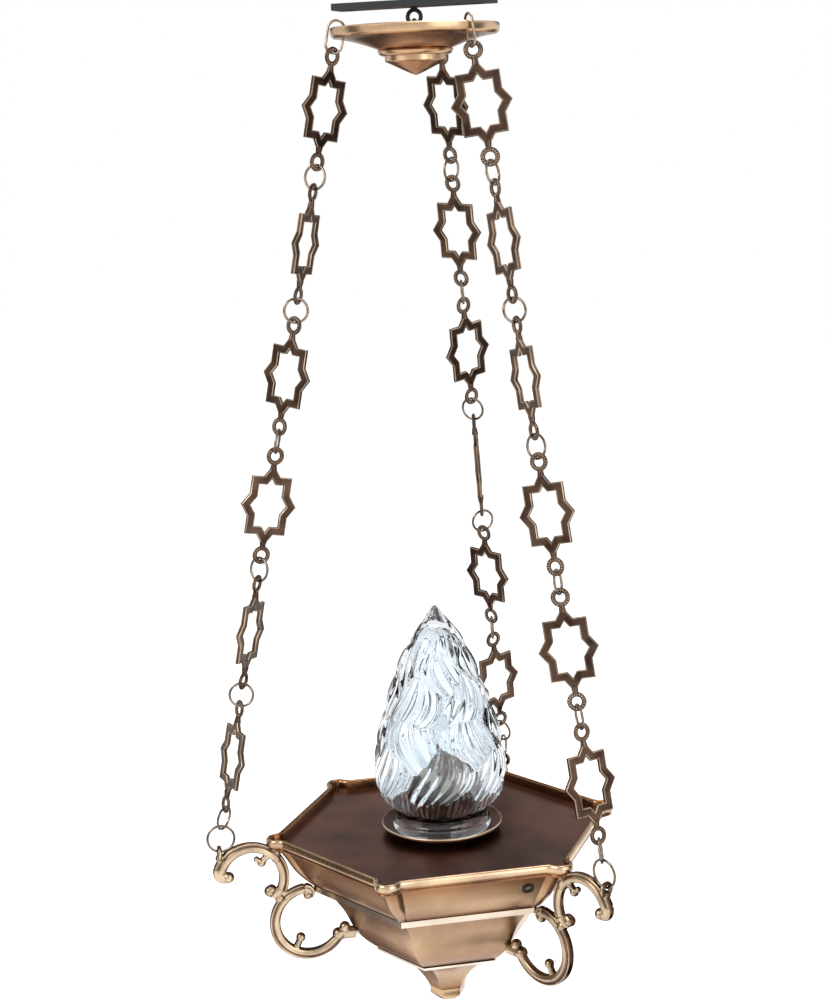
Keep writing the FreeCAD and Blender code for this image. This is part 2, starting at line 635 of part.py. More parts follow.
def at_entry(shape):
    """Place a shape built along +Z, with its mouth at height 0, square to the wall at the entry."""
    piece = shape.copy()
    piece.rotate(Vector(0, 0, 0), Vector(0, 1, 0), 90 + entry_slope())
    piece.translate(Vector(entry_apothem(), ENTRY_SIDE, -ENTRY_DROP))
    return turned(piece, ENTRY_FACE_ANGLE)


def upper_tier():
    """Thin hexagonal wall with a rounded column at each corner and the cable hole."""
    wall = tier_wall(0.0).cut(tier_wall(SHELL, SHELL / 10))
    return wall.cut(at_entry(rod(ENTRY_HOLE_R, -3 * SHELL, 3 * SHELL)))


def cable_bush():
    """Black bush in the cable hole: a barrel and a thin flange outside."""
    barrel = rod(ENTRY_HOLE_R - HOLE_GAP, -2 * SHELL, 0)
    flange = rod(BUSH_FLANGE_R, 0, BUSH_FLANGE_THICK)
    bore = rod(BUSH_BORE_R, -2 * SHELL, BUSH_FLANGE_THICK)
    return at_entry(barrel.fuse(flange).cut(bore).removeSplitter())


def ledge():
    """Middle plate with a bright turned-down edge between the tiers."""
    top = UPPER_TIER[-1][0]
    block = hex_loft([(top - LEDGE_HEIGHT, LEDGE_R), (top, LEDGE_R)])
    under = hex_loft(inward([(top - LEDGE_HEIGHT, LEDGE_R), (top - LEDGE_PLATE, LEDGE_R)], LEDGE_PLATE))
    return block.cut(under).cut(rod(ROD_R + HOLE_GAP, top - LEDGE_HEIGHT, top))


def lower_tier():
    """Thin hexagonal bowl under the ledge, with a boss inside each arm's corner."""
    outer = hex_loft(LOWER_TIER)
    inside = inward(LOWER_TIER, SHELL)
    inside[0] = (inside[0][0] + SHELL, inside[0][1])
    inside[-1] = (inside[-1][0] - SHELL, inside[-1][1])
    shell = outer.cut(hex_loft(inside))
    wall_r = corner_at(FOOT_Z)
    for letter in CHAIN_ANGLE:
        boss = Part.makeCylinder(BOSS_R, BOSS_DEPTH + SHELL, Vector(wall_r - BOSS_DEPTH - SHELL, 0, FOOT_Z),
                                 Vector(1, 0, 0)).common(outer_for_boss(outer))
        mouth = Vector(wall_r - 2 * BOSS_DEPTH + SHELL, 0, FOOT_Z)
        hole = Part.makeCylinder(SCREW_R + HOLE_GAP, 2 * BOSS_DEPTH, mouth, Vector(1, 0, 0))
        shell = shell.fuse(turned(boss, CHAIN_ANGLE[letter])).cut(turned(hole, CHAIN_ANGLE[letter]))
    return shell.removeSplitter()


def outer_for_boss(outer):
    """The lower tier's outer solid turned so that an arm's corner lies on +X."""
    return turned(outer, -CHAIN_ANGLE["a"])


def corner_at(z):
    """The lower tier's corner radius at a height."""
    for upper, lower in zip(LOWER_TIER, LOWER_TIER[1:]):
        if lower[0] <= z <= upper[0]:
            share = (upper[0] - z) / (upper[0] - lower[0])
            return upper[1] + share * (lower[1] - upper[1])
    return LOWER_TIER[-1][1]


def base_plate():
    """Thin plate that closes the lower tier."""
    top = LOWER_TIER[-1][0]
    plate = hex_loft([(top - BASE_PLATE_THICK, BASE_PLATE_R), (top, BASE_PLATE_R)])
    return plate.cut(rod(ROD_R + HOLE_GAP, top - BASE_PLATE_THICK, top))


def trumpet():
    """Hollow hexagonal trumpet under the base plate, solid at its foot."""
    outer = hex_loft(TRUMPET)
    inside = inward(TRUMPET[:-1], SHELL)
    floor = TRUMPET[-1][0] + TRUMPET_FOOT
    inside = [(z, radius) for z, radius in inside if z > floor] + [(floor, inside[-1][1])]
    inside[0] = (inside[0][0] + SHELL, inside[0][1])
    return outer.cut(hex_loft(inside)).cut(rod(ROD_R + HOLE_GAP, TRUMPET[-1][0], floor))


def end_knob():
    """Hexagonal end nut with a blunt point and a blind bore for the tie rod."""
    top = TRUMPET[-1][0]
    body = hex_loft([(top - KNOB_HEIGHT - KNOB_POINT_HEIGHT, KNOB_POINT_R), (top - KNOB_HEIGHT, KNOB_R),
                     (top, KNOB_R)])
    return body.cut(rod(ROD_R + HOLE_GAP, top - KNOB_BORE_DEPTH, top))


def tie_rod():
    """Threaded tube from the end knob up into the lampholder's foot, open for the wires."""
    low = TRUMPET[-1][0] - KNOB_BORE_DEPTH + NEST_GAP
    high = -SAUCER_SEAT_DROP + ROD_ABOVE_SEAT
    return rod(ROD_R, low, high).cut(rod(ROD_BORE_R, low, high))


def nut_places():
    """Heights of each nut's bearing face, and the way that the nut stands off it."""
    floor = -RIM_SHELF_DROP
    return [(floor, -1), (UPPER_TIER[-1][0], 1), (LOWER_TIER[-1][0], 1)]


def rod_washers():
    """Washers under the nuts."""
    rings = []
    for z, way in nut_places():
        low = min(z, z + way * WASHER_THICK)
        rings.append(rod(WASHER_R, low, low + WASHER_THICK).cut(
            rod(ROD_R + HOLE_GAP, low, low + WASHER_THICK)))
    return Part.makeCompound(rings)


def rod_nuts():
    """Hexagon nuts that clamp the tray, the ledge and the base plate to the rod."""
    nuts = []
    for z, way in nut_places():
        face = z + way * WASHER_THICK
        low = min(face, face + way * NUT_HEIGHT)
        nut = hex_loft([(low, NUT_R), (low + NUT_HEIGHT, NUT_R)])
        nuts.append(nut.cut(rod(ROD_R + HOLE_GAP / 3, low, low + NUT_HEIGHT)))
    return Part.makeCompound(nuts)


# ---- saucer, lampholder, bulb and glass ---------------------------------------------------------
def saucer():
    """Turned saucer: raised edge, flat seat for the glass and a foot on the tray."""
    seat = -SAUCER_SEAT_DROP
    floor = -RIM_SHELF_DROP + TRAY_THICK
    return turned_solid([
        (ROD_R + HOLE_GAP, floor), (SAUCER_FOOT_R, floor),
        (SAUCER_FOOT_R + SAUCER_FOOT_FLARE, seat - SAUCER_SHEET),
        (SAUCER_SEAT_R, seat - SAUCER_SHEET), (SAUCER_R, SAUCER_EDGE_TOP - SAUCER_EDGE),
        (SAUCER_R, SAUCER_EDGE_TOP), (SAUCER_SEAT_R + NEST_GAP, seat), (ROD_R + HOLE_GAP, seat)])


def flame_glass():
    """Hollow moulded glass in the shape of a flame, open at the foot."""
    lift = -SAUCER_SEAT_DROP - GLASS_OUTLINE[0][0]
    outer = [(radius, z + lift) for z, radius in GLASS_OUTLINE]
    top = GLASS_OUTLINE[-1][0]
    inner = [(radius - GLASS_WALL, z + lift) for radius, z in
             ((r, h) for h, r in GLASS_OUTLINE[:-1]) if z < top - GLASS_TOP_WALL and radius > 2 * GLASS_WALL]
    inner.append((0.0, top - GLASS_TOP_WALL + lift))
    return turned_solid(outer + [(0.0, top + lift)] + inner[::-1])


def lampholder():
    """Moulded holder: a cup with a wide foot, bored for the rod."""
    seat = -SAUCER_SEAT_DROP
    return turned_solid([
        (ROD_R + HOLE_GAP, seat), (HOLDER_FOOT_R, seat), (HOLDER_FOOT_R, seat + HOLDER_FOOT),
        (HOLDER_R, seat + HOLDER_FOOT + HOLDER_SLOPE), (HOLDER_R, seat + HOLDER_HEIGHT),
        (THREAD_R + THREAD_SHEET, seat + HOLDER_HEIGHT), (THREAD_R + THREAD_SHEET, seat + HOLDER_FLOOR),
        (ROD_R + HOLE_GAP, seat + HOLDER_FLOOR)])


def thread_sleeve():
    """Brass sleeve that the bulb's cap screws into."""
    low = -SAUCER_SEAT_DROP + HOLDER_FLOOR + CONTACT_HEIGHT
    high = -SAUCER_SEAT_DROP + HOLDER_HEIGHT
    return rod(THREAD_R + THREAD_SHEET, low, high).cut(rod(THREAD_R, low, high))


def centre_contact():
    """Contact disc on the floor of the holder, with its own insulating base."""
    low = -SAUCER_SEAT_DROP + HOLDER_FLOOR
    return turned_solid([(0.0, low), (THREAD_R, low), (THREAD_R, low + CONTACT_HEIGHT / 2),
                         (CONTACT_R, low + CONTACT_HEIGHT / 2), (CONTACT_R, low + CONTACT_HEIGHT),
                         (0.0, low + CONTACT_HEIGHT)])


def cap_z():
    """Height of the bulb cap's foot."""
    return -SAUCER_SEAT_DROP + HOLDER_FLOOR + CONTACT_HEIGHT


def bulb_cap():
    """Threaded metal cap of the bulb."""
    low = cap_z()
    return rod(BULB_CAP_R, low + BULB_CAP_POINT, low + BULB_CAP_HEIGHT).fuse(
        Part.makeCone(CONTACT_R, BULB_CAP_R, BULB_CAP_POINT, Vector(0, 0, low))).removeSplitter()


def bulb_neck():
    """Moulded neck between the cap and the bulb's glass."""
    low = cap_z() + BULB_CAP_HEIGHT
    return Part.makeCone(BULB_CAP_R, BULB_NECK_R, BULB_NECK_HEIGHT, Vector(0, 0, low))


def bulb_glass():
    """Clear candle-shaped envelope."""
    low = cap_z() + BULB_CAP_HEIGHT + BULB_NECK_HEIGHT
    outer = [(radius, low + z) for z, radius in BULB_OUTLINE]
    inner = [(radius - BULB_WALL, low + z) for z, radius in BULB_OUTLINE if radius > 2 * BULB_WALL]
    inner[0] = (inner[0][0], low)
    inner.append((0.0, inner[-1][1] + BULB_WALL))
    return turned_solid(outer + [(0.0, outer[-1][1])] + inner[::-1])


def bulb_filament():
    """Glass stem and filament column inside the bulb."""
    low = cap_z() + BULB_CAP_HEIGHT + BULB_NECK_HEIGHT
    return rod(FILAMENT_R, low, low + FILAMENT_LENGTH)


# ---- scroll arms --------------------------------------------------------------------------------
def on_circle(centre, radius, angle):
    """Point of the arm's plane on a circle."""
    return (centre[0] + radius * math.cos(math.radians(angle)),
            centre[1] + radius * math.sin(math.radians(angle)))


def arc_bar(centre, radius, start, end, thickness):
    """Round bar bent along an arc in the arm's plane, which is XZ."""
    x, z = on_circle(centre, radius, start)
    across = Vector(-math.sin(math.radians(start)), 0, math.cos(math.radians(start)))
    section = disc_face(thickness, Vector(x, 0, z), across)
    way = 1 if end > start else -1
    return section.revolve(Vector(centre[0], 0, centre[1]), Vector(0, -way, 0), abs(end - start))


def curl_centre(centre, radius, angle, curl_r):
    """Centre of a curl that leaves a larger arc smoothly at an angle."""
    return on_circle(centre, radius - curl_r, angle)


def ball(place, radius):
    """Round knob of the casting."""
    return Part.makeSphere(radius, Vector(place[0], 0, place[1]))


def raw_arm():
    """One arm in the XZ plane, before the body is cut out of it."""
    tip = curl_centre(UPPER_SCROLL, UPPER_SCROLL_R, UPPER_FROM, TIP_CURL_R)
    nose = curl_centre(UPPER_SCROLL, UPPER_SCROLL_R, UPPER_TO, NOSE_CURL_R)
    crest = curl_centre(LOWER_SCROLL, LOWER_SCROLL_R, LOWER_TO, TOP_CURL_R)
    leaf_angle = math.degrees(math.atan2(LEAF_BALL[1] - UPPER_SCROLL[1], LEAF_BALL[0] - UPPER_SCROLL[0]))
    spur_root = on_circle(LOWER_SCROLL, LOWER_SCROLL_R, SPUR_ANGLE)
    leaf_root = on_circle(UPPER_SCROLL, UPPER_SCROLL_R, leaf_angle)
    pad_core = on_circle(UPPER_SCROLL, UPPER_SCROLL_R, ARM_PAD_CORE_ANGLE)
    foot_end = on_circle(LOWER_SCROLL, LOWER_SCROLL_R, LOWER_FROM)
    eye_z = -EYE_BELOW_RIM + SEAT / 2 - ARM_EYE_HOLE_R
    eye = Part.makeTorus(ARM_EYE_HOLE_R + ARM_EYE_WIRE_R, ARM_EYE_WIRE_R, Vector(CHAIN_FOOT_R, 0, eye_z),
                         Vector(1, 0, 0))
    eye_root_z = eye_z - ARM_EYE_HOLE_R - ARM_EYE_ROOT_DROP
    pieces = [
        arc_bar(UPPER_SCROLL, UPPER_SCROLL_R, UPPER_FROM, UPPER_TO, ARM_R),
        arc_bar(tip, TIP_CURL_R, UPPER_FROM, UPPER_FROM - TIP_CURL_SWEEP, CURL_R),
        ball(on_circle(tip, TIP_CURL_R - CURL_BALL_SINK, UPPER_FROM - TIP_CURL_SWEEP), BALL_R),
        arc_bar(nose, NOSE_CURL_R, UPPER_TO, UPPER_TO + NOSE_CURL_SWEEP, CURL_R),
        ball(on_circle(nose, NOSE_CURL_R - CURL_BALL_SINK, UPPER_TO + NOSE_CURL_SWEEP), SMALL_BALL_R),
        arc_bar(LOWER_SCROLL, LOWER_SCROLL_R, LOWER_FROM, LOWER_TO, ARM_R),
        arc_bar(crest, TOP_CURL_R, LOWER_TO, LOWER_TO + TOP_CURL_SWEEP, CURL_R),
        ball(on_circle(crest, TOP_CURL_R - TOP_BALL_SINK, LOWER_TO + TOP_CURL_SWEEP), SMALL_BALL_R),
        ball(JOIN_BALL, BALL_R),
        ball(LEAF_BALL, SMALL_BALL_R), bar_between(LEAF_BALL, leaf_root, CURL_R),
        ball(SPUR_BALL, SMALL_BALL_R), bar_between(SPUR_BALL, spur_root, CURL_R),
        ball(FOOT_BALL, BALL_R), bar_between(FOOT_BALL, foot_end, CURL_R),
        bar_between((corner_at(FOOT_Z) - SHELL, FOOT_Z), (FOOT_REACH, FOOT_Z), FOOT_R),
        ball((FOOT_REACH, FOOT_Z), FOOT_R),
        eye, ball((CHAIN_FOOT_R, eye_root_z), ARM_EYE_ROOT_R),
        rod(ARM_PAD_R, -RIM_HEIGHT - ARM_PAD_DROP, -RIM_HEIGHT, ARM_PAD_PLACE),
        bar_between((ARM_PAD_PLACE, -RIM_HEIGHT - ARM_PAD_CORE_DEPTH), pad_core, ARM_PAD_CORE_R),
    ]
    return fused(pieces)


def bar_between(start, end, thickness):
    """Straight round bar between two places of the arm's plane."""
    way = Vector(end[0] - start[0], 0, end[1] - start[1])
    return Part.makeCylinder(thickness, way.Length, Vector(start[0], 0, start[1]), way)


def screw_pair():
    """The two screws of one arm: one down through the shelf, one out through the lower tier."""
    upper = rod(SCREW_R, -RIM_HEIGHT - SCREW_REACH, -RIM_SHELF_DROP, ARM_PAD_PLACE).fuse(
        Part.makeCone(SCREW_R, SCREW_HEAD_R, RIM_HEIGHT - RIM_SHELF_DROP,
                      Vector(ARM_PAD_PLACE, 0, -RIM_HEIGHT))).removeSplitter()
    seat = corner_at(FOOT_Z) - BOSS_DEPTH - SHELL
    end = corner_at(FOOT_Z) + SCREW_REACH
    lower = Part.makeCylinder(SCREW_R, end - seat, Vector(seat, 0, FOOT_Z), Vector(1, 0, 0)).fuse(
        Part.makeCylinder(SCREW_HEAD_R, SCREW_HEAD, Vector(seat - SCREW_HEAD, 0, FOOT_Z),
                          Vector(1, 0, 0))).removeSplitter()
    return [upper, lower]


def finished_arm(rim, tier, ledge_plate, bowl):
    """The arm with the body's faces and its screw holes cut into it, in its own plane."""
    arm = raw_arm()
    back = -CHAIN_ANGLE["a"]
    for neighbour in (rim, tier, ledge_plate, bowl):
        arm = arm.cut(turned(neighbour, back))
    inside = turned(hex_loft([(z, radius - ARM_FACE_SINK) for z, radius in LOWER_TIER]), back)
    arm = arm.cut(inside)
    for screw in screw_pair():
        arm = arm.cut(screw)
    return max(arm.Solids, key=lambda solid: solid.Volume)


# ---- writing the pieces -------------------------------------------------------------------------
def all_pieces():
    """Every node's shape in its place."""
    rim, tier, ledge_plate, bowl = gallery_rim(), upper_tier(), ledge(), lower_tier()
    arm = finished_arm(rim, tier, ledge_plate, bowl)
    star = star_link()
    pieces = {
        "ceiling_bar": ceiling_bar(), "ceiling_eye": ceiling_eye(), "hook_link": hook_link(),
        "canopy_stem": canopy_stem(), "canopy_dish": canopy_dish(), "canopy_finial": canopy_finial(),
        "gallery_rim": lowered(rim), "tray_plate": lowered(tray_plate()),
        "upper_tier": lowered(tier), "ledge_plate": lowered(ledge_plate),
        "lower_tier": lowered(bowl), "base_plate": lowered(base_plate()),
        "trumpet": lowered(trumpet()), "end_knob": lowered(end_knob()),
        "tie_rod": lowered(tie_rod()), "rod_nuts": lowered(rod_nuts()),
        "rod_washers": lowered(rod_washers()), "cable_bush": lowered(cable_bush()),
        "saucer": lowered(saucer()), "flame_glass": lowered(flame_glass()),
        "lampholder": lowered(lampholder()), "thread_sleeve": lowered(thread_sleeve()),
        "centre_contact": lowered(centre_contact()), "bulb_cap": lowered(bulb_cap()),
        "bulb_neck": lowered(bulb_neck()), "bulb_glass": lowered(bulb_glass()),
        "bulb_filament": lowered(bulb_filament()),
    }
    screws = []
    for letter, angle in CHAIN_ANGLE.items():
        pieces["hanger_ring_" + letter] = hanger_ring(letter)
        pieces["joining_rings_" + letter] = joining_rings(letter)
        pieces["arm_ring_" + letter] = arm_ring(letter)
        pieces["scroll_arm_" + letter] = lowered(turned(arm, angle))
        screws += [lowered(turned(screw, angle)) for screw in screw_pair()]
        for index in range(STARS_PER_CHAIN):
            name = "star_link_%s%d" % (letter, index + 1)
            pieces[name] = on_chain(star, letter, star_along(index), STAR_FACING[letter][index])
    pieces["arm_screws"] = Part.makeCompound(screws)
    return pieces


def main():
    """Write one STEP file for each node."""
    os.makedirs("parts", exist_ok=True)
    for name, shape in all_pieces().items():
        shape.exportStep("parts/%s.step" % name)


if __name__ == "__main__":
    main()
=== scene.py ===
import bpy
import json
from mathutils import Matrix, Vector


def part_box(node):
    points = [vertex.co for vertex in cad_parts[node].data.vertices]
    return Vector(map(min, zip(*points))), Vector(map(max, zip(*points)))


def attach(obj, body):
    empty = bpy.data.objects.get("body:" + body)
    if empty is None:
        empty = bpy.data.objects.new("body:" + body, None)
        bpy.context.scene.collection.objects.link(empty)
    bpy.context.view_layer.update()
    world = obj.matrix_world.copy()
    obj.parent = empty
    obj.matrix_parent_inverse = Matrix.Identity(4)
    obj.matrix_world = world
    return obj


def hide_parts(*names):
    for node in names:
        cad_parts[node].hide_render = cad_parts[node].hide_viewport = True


bl_info = {
    "name": "Sanctuary lamp",
    "version": (1, 0, 0),
    "blender": (4, 5, 0),
    "location": "View3D > Sidebar > Lamp",
    "description": "Builds the surfaces, finishes and stage of a hanging sanctuary lamp",
    "category": "Object",
}

import json
import math

import bmesh
import bpy
import numpy as np
from mathutils import Matrix, Vector

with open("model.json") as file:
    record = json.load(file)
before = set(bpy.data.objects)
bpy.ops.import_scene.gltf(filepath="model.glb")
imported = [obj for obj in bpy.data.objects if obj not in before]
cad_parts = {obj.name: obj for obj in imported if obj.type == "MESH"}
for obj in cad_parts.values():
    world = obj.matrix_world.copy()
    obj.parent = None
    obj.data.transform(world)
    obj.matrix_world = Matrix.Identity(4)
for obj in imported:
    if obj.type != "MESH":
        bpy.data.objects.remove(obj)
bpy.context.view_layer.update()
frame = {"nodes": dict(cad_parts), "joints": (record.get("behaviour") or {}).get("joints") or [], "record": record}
RECORD = frame["record"]
JOINTS = {joint["name"]: joint for joint in frame["joints"]}
BODIES = {node: body for body, nodes in RECORD["behaviour"]["bodies"].items() for node in nodes}

# Lengths in this script are millimetres until a mesh is made, and angles are degrees.
MM = 0.001
CHAINS = {"a": 210.0, "b": 330.0, "c": 90.0}
STARS = 6
RIM_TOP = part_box("gallery_rim")[1].z / MM
CANOPY_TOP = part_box("canopy_dish")[1].z / MM
CANOPY_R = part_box("canopy_dish")[1].x / MM
SAUCER_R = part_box("saucer")[1].x / MM
LAMP_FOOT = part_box("end_knob")[0].z / MM


def linear(code):
    """Turn an sRGB hex colour into linear red, green, blue and alpha."""
    steps = np.array([int(code[k:k + 2], 16) for k in (1, 3, 5)]) / 255
    value = np.where(steps <= 0.04045, steps / 12.92, ((steps + 0.055) / 1.055) ** 2.4)
    return (*value.tolist(), 1.0)


# ---- settings a user would change -----------------------------------------------------------------
def colour(name, description, code):
    """A colour setting whose default is an sRGB hex colour."""
    return bpy.props.FloatVectorProperty(name=name, description=description, subtype="COLOR", size=4,
                                         min=0.0, max=1.0, default=linear(code))


def length(name, description, millimetres):
    """A length setting: Blender holds it in metres, and its default is given in millimetres."""
    return bpy.props.FloatProperty(name=name, description=description, default=millimetres * MM, min=0.0,
                                   unit="LENGTH", subtype="DISTANCE", precision=5)


class LampSizes(bpy.types.PropertyGroup):
    tongue_height: length("Tongue height", "How far a flame tongue stands out of the glass", 7.2)
    rib_height: length("Rib height", "Height of the ribs on the tongues", 0.6)
    link_lip: length("Link lip", "Depth of the sunk face of a star link", 0.35)
    arm_groove: length("Arm groove", "Depth of the groove beside the arm's outer rib", 1.6)


class LampColours(bpy.types.PropertyGroup):
    brass: colour("Brass", "Satin brass of the bowl", "#976e49")
    brass_shade: colour("Brass shade", "Brown patina of the bowl", "#6f4a35")
    # Besides the rubbed brass of edges and rim, this is the colour of the painted highlight across the bowl's
    # tiers and trumpet.
    brass_rubbed_and_highlight: colour("Polished brass", "Rubbed brass of edges and rim", "#e6cfae")
    canopy: colour("Canopy", "Copper-toned brass of the canopy", "#b27c4a")
    bronze: colour("Bronze", "Dark patina of the star links", "#574439")
    bronze_bright: colour("Rubbed bronze", "Bright edges of the star links", "#b3a088")
    wire: colour("Wire", "Pale wire of the rings", "#85766a")
    tray: colour("Tray", "Dark brown patina of the tray", "#6b402e")
    glass: colour("Glass", "Faint tint of the moulded glass", "#ebf1f6")
    iron: colour("Iron", "Paint of the ceiling bar", "#070c0f")


# ---- meshes ---------------------------------------------------------------------------------------
def smooth(points, count):
    """Curve through the points: cubic pieces whose slope at a point is half the step past it."""
    known = np.asarray(points, float)
    known = np.vstack([2 * known[0] - known[1], known, 2 * known[-1] - known[-2]])
    run = np.linspace(0, len(points) - 1, count)
    first = np.minimum(run.astype(int), len(points) - 2)
    part = (run - first)[:, None]
    a, b, c, d = (known[first + step] for step in range(4))
    return 0.5 * (2 * b + (c - a) * part + (2 * a - 5 * b + 4 * c - d) * part ** 2
                  + (3 * b - a - 3 * c + d) * part ** 3)


def quads(rows, columns, rows_close, columns_close):
    """Corner numbers of the faces between neighbouring points of a grid."""
    row, column = np.meshgrid(np.arange(rows if rows_close else rows - 1),
                              np.arange(columns if columns_close else columns - 1), indexing="ij")
    below, beside = (row + 1) % rows, (column + 1) % columns
    corners = [row * columns + column, below * columns + column, below * columns + beside,
               row * columns + beside]
    return np.stack(corners, -1).reshape(-1, 4)


def patch(points, rows_close=False, columns_close=True, wear_and_highlight=0.0):
    """One grid of a mesh, with how far each point is brightened, by rubbing and by a painted highlight."""
    points = np.asarray(points, float)
    return points, rows_close, columns_close, np.broadcast_to(wear_and_highlight, points.shape[:2])


def build(name, patches, sharp=35.0):
    """Mesh object from grids in millimetres, its seams merged and its faces turned outwards."""
    points, faces, wear_and_highlight, start = [], [], [], 0
    for grid, rows_close, columns_close, rubbing_and_highlight in patches:
        rows, columns = grid.shape[:2]
        points.append(grid.reshape(-1, 3) * MM)
        faces.append(quads(rows, columns, rows_close, columns_close) + start)
        wear_and_highlight.append(rubbing_and_highlight.reshape(-1))
        start += rows * columns
    mesh = bpy.data.meshes.new(name)
    mesh.from_pydata(np.vstack(points).tolist(), [], np.vstack(faces).tolist())
    mesh.attributes.new("wear_and_highlight", "FLOAT", "POINT").data.foreach_set("value", np.concatenate(wear_and_highlight))
    work = bmesh.new()
    work.from_mesh(mesh)
    bmesh.ops.remove_doubles(work, verts=work.verts, dist=1e-6)
    bmesh.ops.recalc_face_normals(work, faces=work.faces)
    work.to_mesh(mesh)
    work.free()
    return show(name, mesh, sharp)


def show(name, mesh, sharp):
    """Link a mesh into the scene, smooth except where faces meet at a sharp angle."""
    mesh.polygons.foreach_set("use_smooth", np.ones(len(mesh.polygons), bool))
    mesh.set_sharp_from_angle(angle=math.radians(sharp))
    piece = bpy.data.objects.new(name, mesh)
    bpy.context.scene.collection.objects.link(piece)
    return piece


def stand_for(piece, node, material):
    """Give a piece its finish, and the body and material slot of the node that it replaces."""
    piece.data.materials.clear()
    piece.data.materials.append(material)
    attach(piece, BODIES[node])
    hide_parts(node)


def dress(node, material):
    """Give a CAD node a material."""
    mesh = frame["nodes"][node].data
    mesh.materials.clear()
    mesh.materials.append(material)


def circles(radius, height, angle):
    """Points of circles about Z, from radii, heights and angles that are broadcast together."""
    return np.stack([radius * np.cos(angle), radius * np.sin(angle), height + 0 * angle], -1)


def turned(name, profile, segments=128, sharp=35.0, wear_and_highlight=0.0):
    """Solid of revolution: each (radius, height) point is carried round Z, with its own share of rubbing and
    painted highlight.
    """
    radius, height = np.asarray(profile, float).T
    angle = np.linspace(0, 2 * np.pi, segments, endpoint=False)[:, None]
    rubbing_and_highlight = np.broadcast_to(wear_and_highlight, radius.shape)
    return build(name, [patch(circles(radius, height, angle), True, True, rubbing_and_highlight[None, :])], sharp)


# ---- materials ------------------------------------------------------------------------------------
def add(tree, kind, inputs=None, **settings):
    """Add a node: settings are its own, inputs are values or the outputs that feed it."""
    node = tree.nodes.new("ShaderNode" + kind)
    for key, value in settings.items():
        setattr(node, key, value)
    for socket, value in (inputs or {}).items():
        if isinstance(value, bpy.types.NodeSocket):
            tree.links.new(value, node.inputs[socket])
        else:
            node.inputs[socket].default_value = value
    return node


def blank(name):
    """A material with an empty node tree, or None where it is made already."""
    if name in bpy.data.materials:
        return None
    material = bpy.data.materials.new(name)
    material.use_nodes = True
    material.node_tree.nodes.clear()
    return material


PATINA_LOW, PATINA_HIGH = 0.36, 0.62      # cloud noise below and above which one tone is alone
PATINA_KEEPS = 0.6                        # share of the rubbing and painted highlight that shows where the patina is thickest


def metal(name, shade, middle, bright, roughness, cloud_mm, grain_mm, grain_depth_mm):
    """Patinated metal: clouds of two tones, unevenly brighter where the mesh's attribute for rubbing and painted
    highlight is high.
    """
    material = blank(name)
    if material is None:
        return bpy.data.materials[name]
    tree = material.node_tree
    place = add(tree, "TexCoord").outputs["Object"]
    cloud = add(tree, "TexNoise", {"Vector": place, "Scale": 1 / (cloud_mm * MM), "Detail": 4.0})
    grain = add(tree, "TexNoise", {"Vector": place, "Scale": 1 / (grain_mm * MM), "Detail": 3.0})
    patina = add(tree, "MapRange", {0: cloud.outputs[0], 1: PATINA_LOW, 2: PATINA_HIGH})
    tone = add(tree, "Mix", {0: patina.outputs[0], 6: shade, 7: middle}, data_type="RGBA")
    wear_and_highlight = add(tree, "Attribute", attribute_name="wear_and_highlight").outputs["Fac"]
    kept = add(tree, "MapRange", {0: cloud.outputs[0], 1: PATINA_LOW, 2: PATINA_HIGH,
                                  3: PATINA_KEEPS, 4: 1.0})
    rubbing_and_highlight = add(tree, "Math", {0: wear_and_highlight, 1: kept.outputs[0]}, operation="MULTIPLY")
    colour_now = add(tree, "Mix", {0: rubbing_and_highlight.outputs[0], 6: tone.outputs[2], 7: bright}, data_type="RGBA")
    uneven = add(tree, "MapRange", {0: grain.outputs[0], 1: 0.3, 2: 0.7, 3: roughness * 0.8,
                                    4: roughness * 1.25})
    bump = add(tree, "Bump", {"Strength": 1.0, "Distance": grain_depth_mm * MM, "Height": grain.outputs[0]})
    surface = add(tree, "BsdfPrincipled", {"Base Color": colour_now.outputs[2], "Metallic": 1.0,
                                           "Roughness": uneven.outputs[0], "Normal": bump.outputs[0]})
    add(tree, "OutputMaterial", {"Surface": surface.outputs[0]})
    return material


def bowl_brass():
    """Drawn brass sheet, satin lacquered: soft clouds of tone, a painted highlight across each tier, fading to
    painted shade under the rim and at the tier's foot.
    """
    c = bpy.context.scene.lamp_colours
    return metal("satin_brass_sheet", c.brass_shade, c.brass, c.brass_rubbed_and_highlight, 0.30, 70.0, 0.6, 0.004)


def rim_brass():
    """Cast brass, rubbed bright by hand: pale and smooth along its rolled edge."""
    c = bpy.context.scene.lamp_colours
    return metal("polished_cast_brass", c.brass_shade, c.brass, c.brass_rubbed_and_highlight, 0.24, 45.0, 0.8, 0.006)


def plate_brass():
    """Thin rolled plate: paler than the drawn sheet, and smooth enough to mirror softly."""
    c = bpy.context.scene.lamp_colours
    return metal("bright_rolled_plate", linear("#b5a592"), linear("#e2dace"), c.brass_rubbed_and_highlight, 0.16, 60.0, 0.5,
                 0.002)


def canopy_brass():
    """Spun brass with a copper tone: a warm satin with paler rubbed bands."""
    c = bpy.context.scene.lamp_colours
    return metal("spun_copper_toned_brass", linear("#85552f"), c.canopy, c.brass_rubbed_and_highlight, 0.27, 55.0, 0.5,
                 0.003)


def link_bronze():
    """Stamped bronze with a dark patina, rubbed bright along its raised edges."""
    c = bpy.context.scene.lamp_colours
    return metal("dark_stamped_bronze", linear("#3a2a22"), c.bronze, c.bronze_bright, 0.32, 14.0, 0.4, 0.006)


def ring_wire():
    """Bent brass wire, pale and drawn smooth."""
    c = bpy.context.scene.lamp_colours
    return metal("drawn_brass_wire", linear("#4d4035"), c.wire, c.brass_rubbed_and_highlight, 0.22, 9.0, 0.3, 0.002)


